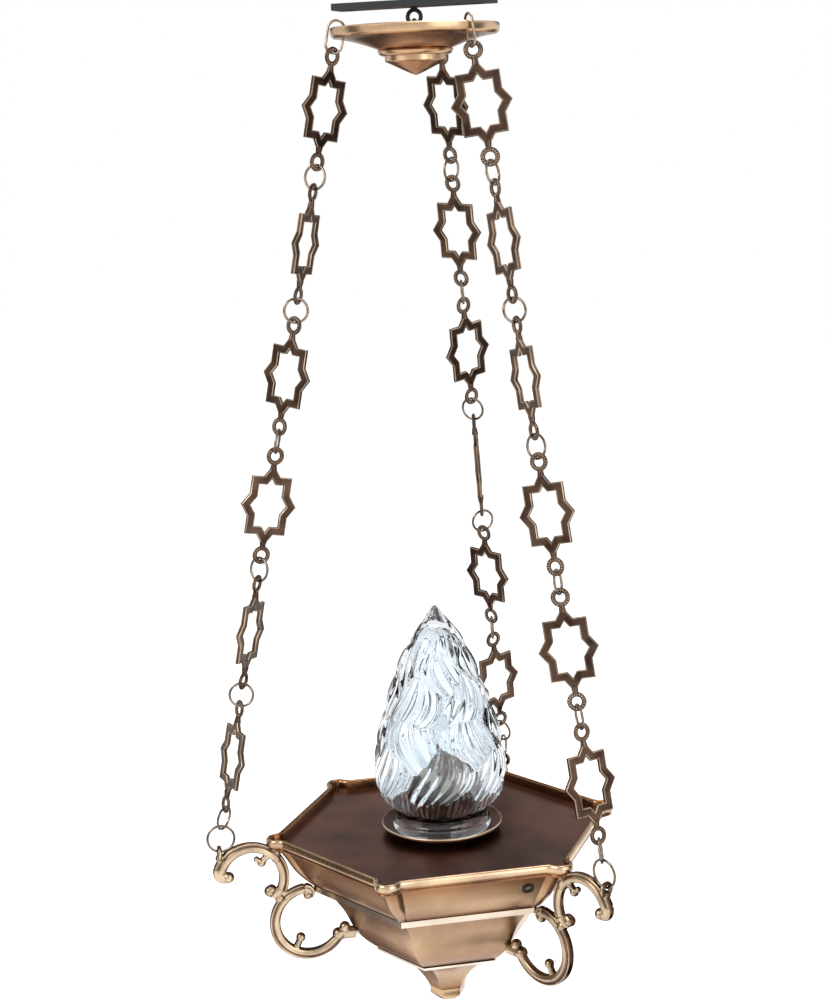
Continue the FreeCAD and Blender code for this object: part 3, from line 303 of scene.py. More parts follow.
def arm_brass():
    """Sand-cast brass: dark patina left in the hollows, ribs and balls rubbed pale."""
    c = bpy.context.scene.lamp_colours
    return metal("antique_cast_brass", linear("#38241b"), linear("#5f4434"), linear("#c9b498"), 0.28, 16.0,
                 0.5, 0.008)


def tray_bronze():
    """Sheet with a chemical brown patina: deep brown, with a low broad sheen."""
    c = bpy.context.scene.lamp_colours
    return metal("brown_patinated_sheet", linear("#42261d"), c.tray, linear("#8a6a55"), 0.36, 60.0, 0.7,
                 0.004)


def plain_metal(name, code, roughness):
    """Small bought-in metal pieces: even, with the fine scatter of a machined surface."""
    tone = linear(code)
    return metal(name, tone, tone, tone, roughness, 20.0, 0.3, 0.002)


def moulded(name, tone, roughness, grain_mm=0.8):
    """Pressed or painted stuff: an even colour whose gloss breaks up finely."""
    material = blank(name)
    if material is None:
        return bpy.data.materials[name]
    tree = material.node_tree
    place = add(tree, "TexCoord").outputs["Object"]
    grain = add(tree, "TexNoise", {"Vector": place, "Scale": 1 / (grain_mm * MM), "Detail": 2.0})
    uneven = add(tree, "MapRange", {0: grain.outputs[0], 3: roughness * 0.8, 4: roughness * 1.2})
    bump = add(tree, "Bump", {"Strength": 1.0, "Distance": 0.004 * MM, "Height": grain.outputs[0]})
    surface = add(tree, "BsdfPrincipled", {"Base Color": tone, "Roughness": uneven.outputs[0],
                                           "Normal": bump.outputs[0]})
    add(tree, "OutputMaterial", {"Surface": surface.outputs[0]})
    return material


def clear_glass(name, tint, roughness, ripple_mm, ripple_depth_mm):
    """Soda-lime glass: clear, with the slight ripple that the mould leaves."""
    material = blank(name)
    if material is None:
        return bpy.data.materials[name]
    tree = material.node_tree
    place = add(tree, "TexCoord").outputs["Object"]
    ripple = add(tree, "TexNoise", {"Vector": place, "Scale": 1 / (ripple_mm * MM), "Detail": 2.0})
    bump = add(tree, "Bump", {"Strength": 1.0, "Distance": ripple_depth_mm * MM, "Height": ripple.outputs[0]})
    surface = add(tree, "BsdfPrincipled", {"Base Color": tint, "Roughness": roughness, "IOR": 1.5,
                                           "Transmission Weight": 1.0, "Normal": bump.outputs[0]})
    add(tree, "OutputMaterial", {"Surface": surface.outputs[0]})
    return material


# ---- canopy ---------------------------------------------------------------------------------------
CANOPY_SHEET = 1.2
CANOPY_DEPTH = 17.0
STEM_BORE = 2.65


class LAMP_OT_canopy(bpy.types.Operator):
    """Spin the canopy dish, with its bead and shoulder, and turn the stepped finial"""
    bl_idname = "lamp.canopy"
    bl_label = "Canopy"

    def execute(self, context):
        rim = CANOPY_R
        slope = smooth([(rim - 2.0, -7.6), (50.0, -9.2), (38.0, -12.6), (28.0, -16.2),
                        (26.6, -CANOPY_DEPTH)], 28)
        outer = [(rim - 8.4, 0.0), (rim - 0.8, 0.0), (rim, -0.8), (rim, -5.2), (rim - 0.6, -6.2)]
        inner = [(STEM_BORE, -CANOPY_DEPTH), (STEM_BORE, -CANOPY_DEPTH + CANOPY_SHEET),
                 (26.0, -CANOPY_DEPTH + CANOPY_SHEET), (49.0, -8.0), (rim - CANOPY_SHEET, -5.4),
                 (rim - CANOPY_SHEET, -CANOPY_SHEET), (rim - 8.4, -CANOPY_SHEET)]
        profile = [(r, z + CANOPY_TOP) for r, z in outer + slope.tolist() + inner]
        band = [0.15, 0.5, 0.6, 0.6, 0.4] + [0.0] * (len(profile) - len(outer))
        stand_for(turned("canopy_shell", profile, wear_and_highlight=band), "canopy_dish", canopy_brass())

        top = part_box("canopy_finial")[1].z / MM
        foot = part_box("canopy_finial")[0].z / MM
        bead = smooth([(27.6, -0.9), (27.2, -2.0), (26.2, -3.4), (24.6, -4.2)], 10).tolist()
        cone = smooth([(22.0, -8.4), (16.0, -11.2), (9.0, -14.6), (3.6, -17.0), (1.2, foot - top + 0.3)], 20)
        steps = [(STEM_BORE, 0.0), (27.2, 0.0)] + bead + [(22.4, -4.2), (22.4, -8.0)] + cone.tolist()
        profile = [(r, z + top) for r, z in steps] + [(0.0, foot), (0.0, top - 12.0), (STEM_BORE, top - 12.0)]
        band = [0.0, 0.5] + [0.4] * len(bead) + [0.6, 0.6]
        band += [0.0] * (len(profile) - len(band))
        stand_for(turned("finial_turning", profile, sharp=28.0, wear_and_highlight=band), "canopy_finial", canopy_brass())
        return {"FINISHED"}


# ---- chains ---------------------------------------------------------------------------------------
STAR_LENGTH = 82.4
STAR_TIP = (22.0, 31.0)       # half width and half length over the long points
STAR_BLOCK = (16.0, 22.0)     # half width and half length of the upright block
STAR_BAR = 6.0
STAR_THICK = 3.0
STAR_RING_MIDDLE = 5.25
STAR_RING_SEAT = 37.85        # from the star's middle to the middle of its end rings
STAR_RING_WIDE = 1.75
STAR_RING_DEEP = 1.15
BEADS = 18
BEAD_RISE = 0.4
JOIN_RING_R = 8.85            # middle of the wire
RING_WIRE = 0.95
ARM_RING_R = 10.3
ARM_RING_WIRE = 1.0
JOIN_LENGTH = 15.5
ARM_RING_LENGTH = 18.3
HANGER_BEND = 5.95
HANGER_TWIST = -18.0


def star_outline(inset):
    """Corners of a long diamond laid over an upright block, both drawn in by an inset."""
    wide, tall = STAR_TIP
    edge = wide * tall / math.hypot(wide, tall)
    x, z = wide * (edge - inset) / edge, tall * (edge - inset) / edge
    block_x, block_z = STAR_BLOCK[0] - inset, STAR_BLOCK[1] - inset
    quarter = [(x, 0.0), (block_x, z * (1 - block_x / x)), (block_x, block_z),
               (x * (1 - block_z / z), block_z), (0.0, z)]
    upper = quarter + [(-across, up) for across, up in reversed(quarter[:-1])]
    return np.array(upper + [(-across, -up) for across, up in upper[1:-1]])


def star_frame(lip):
    """Grid of the flat frame: a lipped section carried round between the outer and inner outlines."""
    face = STAR_THICK / 2
    # share across the bar, height and wear: side, bevel, fine raised edge, sunk face, and back again
    half = [(0.0, face - 1.0, 0.0), (0.0, face - 0.45, 0.5), (0.06, face, 0.9), (0.11, face, 0.4),
            (0.18, face - lip, 0.0), (0.82, face - lip, 0.0), (0.89, face, 0.4), (0.94, face, 0.9),
            (1.0, face - 0.45, 0.5), (1.0, face - 1.0, 0.0)]
    section = np.array(half + [(share, -y, wear_and_highlight) for share, y, wear_and_highlight in reversed(half)])
    outer, inner = star_outline(0.0), star_outline(STAR_BAR)
    flat = outer[:, None] + (inner - outer)[:, None] * section[None, :, :1]
    depth = np.broadcast_to(section[None, :, 1], flat.shape[:2])
    return patch(np.stack([flat[..., 0], depth, flat[..., 1]], -1), True, True, section[None, :, 2])


def ring_grid(middle_r, wide, deep, height=0.0, beads=0, around=64, section=18):
    """Ring about Y with an oval section, and a circle of small beads on each of its faces.

    A bead is the positive part of a cosine round the ring times a bell curve across the section."""
    turn = np.linspace(0, 2 * np.pi, around, endpoint=False)[:, None]
    across = np.linspace(0, 2 * np.pi, section, endpoint=False)[None, :]
    bead = (beads > 0) * np.maximum(np.cos(beads * turn), 0) ** 1.5 * np.exp(-(np.cos(across) / 0.5) ** 2)
    radius = middle_r + wide * np.cos(across)
    depth = deep * np.sin(across) + np.sign(np.sin(across)) * BEAD_RISE * bead
    grid = np.stack([radius * np.cos(turn), depth, radius * np.sin(turn) + height], -1)
    return patch(grid, True, True, 0.05 + 0.9 * bead)


def oval_grid(bend, reach, wire, around=16, section=14):
    """Long wire ring about Y: two half turns of the wire joined by straight legs."""
    turn = np.linspace(0, np.pi, around)
    turn = np.concatenate([turn, turn + np.pi])[:, None]
    rise = np.where(np.arange(2 * around) < around, reach, -reach)[:, None]
    across = np.linspace(0, 2 * np.pi, section, endpoint=False)[None, :]
    radius = bend + wire * np.cos(across)
    grid = np.stack([radius * np.cos(turn), wire * np.sin(across) + 0 * turn,
                     radius * np.sin(turn) + rise], -1)
    return patch(grid, True, True, 0.2)


def neck_grid(low, high, low_r, high_r):
    """Short round neck between two heights, closed at both ends."""
    angle = np.linspace(0, 2 * np.pi, 14, endpoint=False)[None, :]
    height = np.array([low, low, high, high])[:, None]
    radius = np.array([0.0, low_r, high_r, 0.0])[:, None]
    return patch(circles(radius, height, angle), wear_and_highlight=0.05)


def set_in(grid, centre, across, normal, up):
    """Move a grid built in XZ into place: X goes to across, Y to the normal, Z up the chain."""
    points, rows_close, columns_close, wear_and_highlight = grid
    return points @ np.array([across, normal, up]) + centre, rows_close, columns_close, wear_and_highlight


def chain_line(letter):
    """Top point of a chain, the way up along it, and the compass side that its rings face."""
    top = np.array(JOINTS["chain_sway_" + letter]["pos_m"]) / MM
    up = np.array(JOINTS["star_turn_%s1" % letter]["axis"])
    radial = math.radians(CHAINS[letter])
    return top, up, np.array([-math.sin(radial), math.cos(radial), 0.0])


def facing(node, centre, up):
    """The way that a flat link faces: the thin direction of its own points, square to the chain."""
    mesh = frame["nodes"][node].data
    points = np.empty(len(mesh.vertices) * 3, np.float32)
    mesh.vertices.foreach_get("co", points)
    loose = points.reshape(-1, 3) / MM - centre
    loose = loose - np.outer(loose @ up, up)
    return np.linalg.eigh(loose.T @ loose)[1][:, 1]


def axes(normal, up):
    """Across, normal and up, square to each other."""
    across = np.cross(normal, up)
    across /= np.linalg.norm(across)
    return across, np.cross(up, across), up


def between(first, second, up):
    """Normal of a ring that stays as square as it can to the two links it joins."""
    if first @ second < 0:
        second = -second
    middle = first + second
    square = np.cross(up, middle)
    return square / np.linalg.norm(square)


class LAMP_OT_star_links(bpy.types.Operator):
    """Stamp the star links: a lipped frame with a beaded ring at each end"""
    bl_idname = "lamp.star_links"
    bl_label = "Star links"

    def execute(self, context):
        lip = context.scene.lamp_sizes.link_lip / MM
        shape = [star_frame(lip)]
        for way in (1, -1):
            shape.append(ring_grid(STAR_RING_MIDDLE, STAR_RING_WIDE, STAR_RING_DEEP, way * STAR_RING_SEAT,
                                   BEADS, around=BEADS * 8))
            shape.append(neck_grid(way * (STAR_TIP[1] - 4.0), way * (STAR_TIP[1] + 1.6), 2.7, 1.9))
        for letter in CHAINS:
            for number in range(1, STARS + 1):
                node = "star_link_%s%d" % (letter, number)
                joint = JOINTS["star_turn_%s%d" % (letter, number)]
                centre, up = np.array(joint["pos_m"]) / MM, np.array(joint["axis"])
                way = axes(facing(node, centre, up), up)
                grids = [set_in(grid, centre, *way) for grid in shape]
                stand_for(build("star_%s%d" % (letter, number), grids, 30.0), node, link_bronze())
        return {"FINISHED"}


class LAMP_OT_rings(bpy.types.Operator):
    """Bend the wire rings: hangers, joining rings and the large rings at the arms"""
    bl_idname = "lamp.rings"
    bl_label = "Wire rings"

    def execute(self, context):
        for letter in CHAINS:
            top, up, side = chain_line(letter)
            faces = []
            for number in range(1, STARS + 1):
                centre = np.array(JOINTS["star_turn_%s%d" % (letter, number)]["pos_m"]) / MM
                faces.append((centre, facing("star_link_%s%d" % (letter, number), centre, up)))
            rings = []
            for index, (centre, normal) in enumerate(faces):
                following = faces[index + 1][1] if index + 1 < STARS else side
                place = centre - up * (STAR_LENGTH + JOIN_LENGTH) / 2
                way = axes(between(normal, following, up), up)
                rings.append(set_in(ring_grid(JOIN_RING_R, RING_WIRE, RING_WIRE), place, *way))
            stand_for(build("joins_" + letter, rings), "joining_rings_" + letter, ring_wire())

            foot = faces[-1][0] - up * (STAR_LENGTH / 2 + JOIN_LENGTH + ARM_RING_LENGTH / 2)
            large = set_in(ring_grid(ARM_RING_R, ARM_RING_WIRE, ARM_RING_WIRE), foot, *axes(side, up))
            stand_for(build("large_ring_" + letter, [large]), "arm_ring_" + letter, ring_wire())

            self.hanger(letter, top, up, side)
        return {"FINISHED"}

    def hanger(self, letter, top, up, side):
        """The long ring through the canopy: its height comes from its own node's points along the chain."""
        twist = math.radians(HANGER_TWIST)
        side = side * math.cos(twist) + np.cross(up, side) * math.sin(twist)
        mesh = frame["nodes"]["hanger_ring_" + letter].data
        points = np.array([vertex.co for vertex in mesh.vertices]) / MM - top
        along = points @ up
        middle, half = (along.max() + along.min()) / 2, (along.max() - along.min()) / 2
        ring = oval_grid(HANGER_BEND, half - HANGER_BEND - RING_WIRE, RING_WIRE)
        placed = set_in(ring, top + up * middle, *axes(side, up))
        stand_for(build("hanger_" + letter, [placed]), "hanger_ring_" + letter, ring_wire())


# ---- bowl -----------------------------------------------------------------------------------------
RIM_APOTHEM = 116.3
RIM_REACH = 139.0
RIM_LOBE = 9.5
RIM_HOLLOW = 6.0
# the rim's section: inset from its outline and height
RIM_ROLL = [(4.2, -2.0), (3.4, -0.6), (2.1, 0.0), (0.9, -0.6), (0.2, -2.2), (0.0, -4.0), (0.3, -5.8),
            (1.2, -7.0), (1.5, -7.5), (1.0, -8.0), (1.3, -8.8), (2.4, -9.4), (5.5, -10.5)]
RIM_SHELF = [(10.0, -10.5), (10.0, -8.5), (4.2, -8.5)]
SHELF_LOBE = (2.0, 8.0, 3.0)  # lobe, hollow and further inset of the shelf's inner edge
# upper tier: height, apothem, corner reach, corner column radius
UPPER_TIER = [(-10.5, 110.4, 129.5, 8.0), (-18.6, 106.0, 124.0, 7.5), (-29.0, 100.3, 117.5, 6.5),
              (-37.0, 94.5, 110.0, 5.2), (-43.0, 89.0, 103.0, 3.6)]
COLUMN_HOLLOW = 2.0
# lower tier and trumpet: height, corner radius
LOWER_TIER = [(-44.6, 97.5), (-48.0, 96.0), (-52.0, 91.5), (-58.0, 86.5), (-65.0, 81.5), (-72.0, 77.8),
              (-79.0, 74.6), (-86.0, 70.2), (-92.5, 64.4), (-98.0, 57.6), (-100.4, 54.0)]
TRUMPET = [(-102.2, 46.5), (-105.5, 44.6), (-110.0, 37.5), (-115.0, 31.0), (-121.0, 25.0), (-128.0, 19.4),
           (-134.5, 15.6), (-136.4, 15.0)]
SHELL = 1.5
HEX_ROUND = 1.4
KNOB = [(-136.4, 13.4), (-137.0, 14.2), (-142.6, 14.2), (-143.6, 13.6), (-147.6, 8.6), (-148.0, 8.0)]


def arc(centre, radius, start, end, count):
    """Points of an arc in the plane, by its angles in degrees."""
    angle = np.radians(np.linspace(start, end, count))
    return np.stack([centre[0] + radius * np.cos(angle), centre[1] + radius * np.sin(angle)], -1)


def six_sides(side_points):
    """One side's points, out and along, repeated about the axis and closed."""
    turns = np.radians(60 * np.arange(6))[:, None]
    out, along = side_points.T
    x = out * np.cos(turns) - along * np.sin(turns)
    y = out * np.sin(turns) + along * np.cos(turns)
    return np.stack([x.reshape(-1), y.reshape(-1)], -1)


def lobed_hexagon(apothem, reach, lobe, hollow):
    """Hexagon with a round lobe at each corner, joined to the straight sides by small hollows.

    The lobe's centre lies on the corner's axis; a hollow's centre lies outside the side, lobe plus
    hollow away from the lobe's centre and one hollow away from the side."""
    centre = np.array([math.cos(math.radians(30)), math.sin(math.radians(30))]) * (reach - lobe)
    dip_out = apothem + hollow
    dip_along = centre[1] - math.sqrt(max((lobe + hollow) ** 2 - (dip_out - centre[0]) ** 2, 0.0))
    toward = math.degrees(math.atan2(centre[1] - dip_along, centre[0] - dip_out))
    straight = np.stack([np.full(12, apothem), np.linspace(-dip_along, dip_along, 12)], -1)
    dip = arc((dip_out, dip_along), hollow, 180.0, toward, 7)[1:]
    knob = arc(centre, lobe, toward - 180.0, 240.0 - toward, 15)[1:]
    first_dip = dip[:-1][::-1] * (1, -1)
    # the last lobe point is where the next side's first hollow starts
    return six_sides(np.vstack([first_dip[:-1], straight, dip, knob]))


def columned_hexagon(apothem, reach, column):
    """Outline of the upper tier: a hexagon with a round column up each corner."""
    return lobed_hexagon(apothem, reach, column, COLUMN_HOLLOW)


def round_hexagon(corner, round_r=HEX_ROUND):
    """Hexagon with each corner rounded by a small arc that touches both sides."""
    apothem = corner * math.cos(math.radians(30))
    centre_r = (apothem - round_r) / math.cos(math.radians(30))
    centre = (centre_r * math.cos(math.radians(30)), centre_r * math.sin(math.radians(30)))
    bend = arc(centre, round_r, 0.0, 60.0, 6)
    straight = np.stack([np.full(8, apothem), np.linspace(-bend[0, 1], bend[0, 1], 8)], -1)
    return six_sides(np.vstack([straight[:-1], bend[:-1]]))


def stacked(outlines, heights):
    """Grid of outlines, one row at each height over the lamp's rim."""
    level = np.asarray(heights, float)[:, None] + RIM_TOP
    rows = np.stack(outlines)
    return np.concatenate([rows, np.broadcast_to(level[..., None], rows.shape[:2] + (1,))], -1)


def shell_of(name, profile, outline, inner_profile, wear_and_highlight):
    """Hollow hexagonal shell: outer rows down, then inner rows up, closed into one surface."""
    rows = np.vstack([profile, inner_profile[::-1]])
    grid = stacked([outline(*row[1:]) for row in rows], rows[:, 0])
    rubbing_and_highlight = np.zeros(len(rows))
    rubbing_and_highlight[:len(profile)] = wear_and_highlight
    return build(name, [patch(grid, True, True, rubbing_and_highlight[:, None])], 40.0)


class LAMP_OT_bowl(bpy.types.Operator):
    """Cast the gallery rim and draw the two tiers, the trumpet and the end knob"""
    bl_idname = "lamp.bowl"
    bl_label = "Bowl"

    def execute(self, context):
        self.rim()
        for name, node, rows, count, outline, painted_highlight in (
                ("upper_wall", "upper_tier", UPPER_TIER, 26, columned_hexagon, 0.3),
                ("lower_bell", "lower_tier", LOWER_TIER, 40, round_hexagon, 0.4),
                ("trumpet_horn", "trumpet", TRUMPET, 32, round_hexagon, 0.5)):
            outside = smooth(rows, count)
            inside = outside - np.array([0.0] + [SHELL] * (len(rows[0]) - 1))
            # Each tier's brightening is a painted highlight: strongest across the middle of its height, fading to
            # painted shade under the rim and at its foot.
            wear_and_highlight = painted_highlight * np.sin(np.linspace(0, np.pi, count)) ** 2
            stand_for(shell_of(name, outside, outline, inside, wear_and_highlight), node, bowl_brass())
        rows = np.array(KNOB)
        closed = np.vstack([[(rows[0, 0], 1.6)], rows, [(rows[-1, 0], 1.6)]])
        sides = [round_hexagon(corner, min(0.8, corner / 3)) for corner in closed[:, 1]]
        grid = stacked(sides, closed[:, 0])
        stand_for(build("knob_nut", [patch(grid, True, True, 0.35)], 30.0), "end_knob", rim_brass())
        for node in ("ledge_plate", "base_plate"):
            dress(node, plate_brass())
        dress("tray_plate", tray_bronze())
        return {"FINISHED"}

    def rim(self):
        """Rolled rim: a plain round roll, a fine fillet under it and the soffit, then the shelf."""
        section = np.vstack([smooth(RIM_ROLL, 52), RIM_SHELF])
        outlines = []
        for inset in section[:, 0]:
            # further in than the lobes are round, the outline is a plainer one with small lobes of its own
            inside = inset >= RIM_LOBE
            lobe, hollow, extra = SHELF_LOBE if inside else (RIM_LOBE - inset, RIM_HOLLOW + inset, 0.0)
            outlines.append(lobed_hexagon(RIM_APOTHEM - inset, RIM_REACH - inset - extra, lobe, hollow))
        wear_and_highlight = 0.75 * np.exp(-((section[:, 1] + 2.6) / 2.6) ** 2) * (section[:, 0] < 2.4)
        grid = stacked(outlines, section[:, 1])
        stand_for(build("rim_casting", [patch(grid, True, True, wear_and_highlight[:, None])], 40.0), "gallery_rim",
                  rim_brass())


# ---- saucer and glass -----------------------------------------------------------------------------
GLASS_FOOT = [(-3.0, 37.2), (-2.4, 38.0), (2.8, 38.0), (4.2, 37.0), (5.6, 35.8), (9.5, 35.2)]
GLASS_BODY = [(9.5, 35.2), (14.0, 40.0), (21.0, 46.0), (30.0, 49.2), (42.0, 50.0), (56.0, 48.4), (72.0, 45.2),
              (88.0, 40.6), (104.0, 35.2), (120.0, 30.0), (136.0, 24.4), (150.0, 17.6), (161.0, 10.8),
              (168.0, 6.0), (172.4, 2.2), (173.0, 0.0)]
GLASS_TOP = GLASS_BODY[-1][0]
GLASS_SETBACK = 3.9           # the relief stands out from a surface this far inside the body
GLASS_TIP_FADE = 26.0
GLASS_FOOT_FADE = 5.0
GLASS_WALL = 4.4
GLASS_TOP_WALL = 12.0
# flame tongues, one row each: foot height, length, count, half width and sweep in degrees, first angle,
# ribs on a tongue, share of the full relief
TONGUES = [(9.0, 36.0, 12, 17.0, 6.0, 4.0, 3.0, 0.45), (20.0, 56.0, 6, 33.0, 30.0, 26.0, 3.0, 1.0),
           (44.0, 58.0, 5, 36.0, -30.0, 62.0, 2.0, 1.0), (74.0, 54.0, 5, 38.0, 34.0, 14.0, 2.0, 1.0),
           (102.0, 46.0, 4, 44.0, -34.0, 48.0, 2.0, 0.85), (128.0, 38.0, 3, 52.0, 26.0, 10.0, 1.0, 0.7)]


def flame_relief(angle, height, tongue, rib):
    """Relief of overlapping flame tongues.

    A tongue is a leaf between its foot and its tip, whose middle line sweeps sideways with height.
    Across it the relief is the top of a circle; up it the relief swells to about two thirds and falls
    to the tip; and ribs run with it, closing together where it narrows. Where tongues overlap, the
    higher one shows."""
    relief = np.zeros(np.broadcast(angle, height).shape)
    for foot, long, count, wide, sweep, first, ribs, share in TONGUES:
        up = np.clip((height - foot) / long, 0.0, 1.0)
        width = np.radians(wide) * np.maximum(np.sin(np.pi * up ** 0.8) ** 0.6, 1e-3)
        swell = np.sin(np.pi * up ** 1.25) ** 0.7
        for number in range(count):
            middle = np.radians(first + 360.0 / count * number) + np.radians(sweep) * np.sin(up * np.pi / 1.5)
            off = (angle - middle + np.pi) % (2 * np.pi) - np.pi
            across = np.clip(off / width, -1.0, 1.0)
            dome = np.sqrt(1 - across ** 2)
            fine = rib * np.cos(across * 2 * np.pi * ribs) * dome * swell ** 0.5
            relief = np.maximum(relief, tongue * share * dome * swell + fine)
    return relief


class LAMP_OT_glass(bpy.types.Operator):
    """Mould the flame glass on its plain base ring, and turn the saucer under it"""
    bl_idname = "lamp.glass"
    bl_label = "Flame glass"

    def execute(self, context):
        sizes = context.scene.lamp_sizes
        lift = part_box("flame_glass")[0].z / MM - GLASS_FOOT[0][0]
        angle = np.linspace(0, 2 * np.pi, 288, endpoint=False)[None, :]

        body = smooth(GLASS_BODY, 240)
        height, radius = body[:, :1], np.maximum(body[:, 1:], 0.0)
        fade = (np.clip((GLASS_TOP - height) / GLASS_TIP_FADE, 0, 1)
                * np.clip((height - GLASS_BODY[0][0]) / GLASS_FOOT_FADE, 0, 1))
        relief = flame_relief(angle, height, sizes.tongue_height / MM, sizes.rib_height / MM)
        radius = radius + fade * (relief - GLASS_SETBACK)
        outer = circles(radius, height, angle)

        foot = smooth(GLASS_FOOT, 14)[:-1]
        ring = circles(foot[:, 1:], foot[:, :1], angle)

        hollow = smooth([(h, max(r - GLASS_WALL, 0.0)) for h, r in GLASS_BODY[:-4]], 60)
        hollow = np.vstack([[(GLASS_FOOT[0][0], 34.0), (5.0, 32.0)], hollow,
                            [(GLASS_TOP - GLASS_TOP_WALL, 0.0)]])
        inner = circles(hollow[:, 1:], hollow[:, :1], angle)
        grid = np.concatenate([inner[::-1], ring, outer])
        grid[..., 2] += lift
        glass = clear_glass("moulded_clear_glass", context.scene.lamp_colours.glass, 0.03, 9.0, 0.12)
        stand_for(build("flame", [patch(grid)], 75.0), "flame_glass", glass)
        self.saucer()
        return {"FINISHED"}

    def saucer(self):
        """Turned saucer with a rounded edge that stands a little above the rim."""
        seat, tray = -3.0, -7.0
        edge = smooth([(SAUCER_R - 0.6, 1.2), (SAUCER_R - 0.1, 0.7), (SAUCER_R, 0.0),
                       (SAUCER_R - 0.5, -1.1)], 9)
        profile = [(5.15, tray), (33.0, tray), (34.0, seat - 1.6), (39.2, seat - 1.6)]
        profile += [(SAUCER_R - 1.0, -1.3)] + edge[::-1].tolist()
        profile += [(SAUCER_R - 1.3, 0.8), (39.5, seat), (5.15, seat)]
        # The saucer's rounded edge is brightened all round, as rubbing and as a painted highlight.
        edge_rub_and_highlight = [0.0] * 5 + [0.8] * len(edge) + [0.0] * 3
        piece = turned("saucer_turning", [(r, z + RIM_TOP) for r, z in profile], wear_and_highlight=edge_rub_and_highlight)
        stand_for(piece, "saucer", metal("turned_brown_bronze", linear("#4a3026"), linear("#6e4c3d"),
                                         linear("#e8d3b8"), 0.38, 40.0, 0.5, 0.003))


# ---- scroll arms ----------------------------------------------------------------------------------
UPPER_SCROLL = (152.0, -32.0)
UPPER_SCROLL_R = 25.7
LOWER_SCROLL = (108.0, -71.0)
LOWER_SCROLL_R = 27.2
UPPER_SPAN = (22.0, 205.0)    # where each scroll's arc starts and ends
LOWER_SPAN = (-152.0, 85.0)
SCROLL_HALF = 4.2             # half width of the scrolls, on average
CHAIN_FOOT_R = 175.2
ARM_VOXEL = 0.5
GROOVE_PLACE = 0.42           # middle and width of the groove, as shares of the bar's half width
GROOVE_WIDTH = 0.2


def bar_along(centre, radius, start, end, wide, thick, groove, count=70):
    """Moulded bar bent round an arc in XZ.

    wide holds the bar's half width at its start, middle and end. Across the bar the section is a
    squarish oval with a groove on each face beside its outer edge, which leaves a narrow rib there."""
    run = np.linspace(0, 1, count)[:, None]
    turn = np.radians(start + (end - start) * run)
    half = np.interp(run[:, 0], (0, 0.5, 1), wide)[:, None]
    around = np.linspace(0, 2 * np.pi, 40, endpoint=False)[None, :]
    out, deep = np.cos(around), np.sin(around)
    cut = groove * np.exp(-((out - GROOVE_PLACE) / GROOVE_WIDTH) ** 2)
    across = half * out
    depth = np.sign(deep) * np.maximum(thick * np.abs(deep) ** 0.5 - cut, 0.0) * half / max(wide)
    caps = np.ones((count, 1))
    caps[[0, -1]] = 0.0
    reach = radius + across * caps
    return patch(np.stack([centre[0] + reach * np.cos(turn), depth * caps,
                           centre[1] + reach * np.sin(turn)], -1))


def ball_grid(place, radius):
    """Round knob of the casting."""
    up = np.linspace(-np.pi / 2, np.pi / 2, 20)[:, None]
    round_it = np.linspace(0, 2 * np.pi, 28, endpoint=False)[None, :]
    return patch(np.stack([place[0] + radius * np.cos(up) * np.cos(round_it),
                           radius * np.cos(up) * np.sin(round_it),
                           place[1] + radius * np.sin(up) + 0 * round_it], -1))


def peg_grid(start, end, start_r, end_r):
    """Tapered round peg between two places of the arm's plane, with closed ends."""
    start, end = np.array([start[0], 0, start[1]], float), np.array([end[0], 0, end[1]], float)
    way = (end - start) / np.linalg.norm(end - start)
    side = np.cross(way, (0, 1, 0))
    around = np.linspace(0, 2 * np.pi, 18, endpoint=False)[None, :, None]
    circle = np.cos(around) * side + np.sin(around) * np.array([0.0, 1.0, 0.0])
    ends = np.stack([start, start, end, end])[:, None]
    radii = np.array([0.0, start_r, end_r, 0.0])[:, None, None]
    return patch(ends + radii * circle)


def on_circle(centre, radius, angle):
    """Point of the arm's plane on a circle."""
    turn = math.radians(angle)
    return centre[0] + radius * math.cos(turn), centre[1] + radius * math.sin(turn)


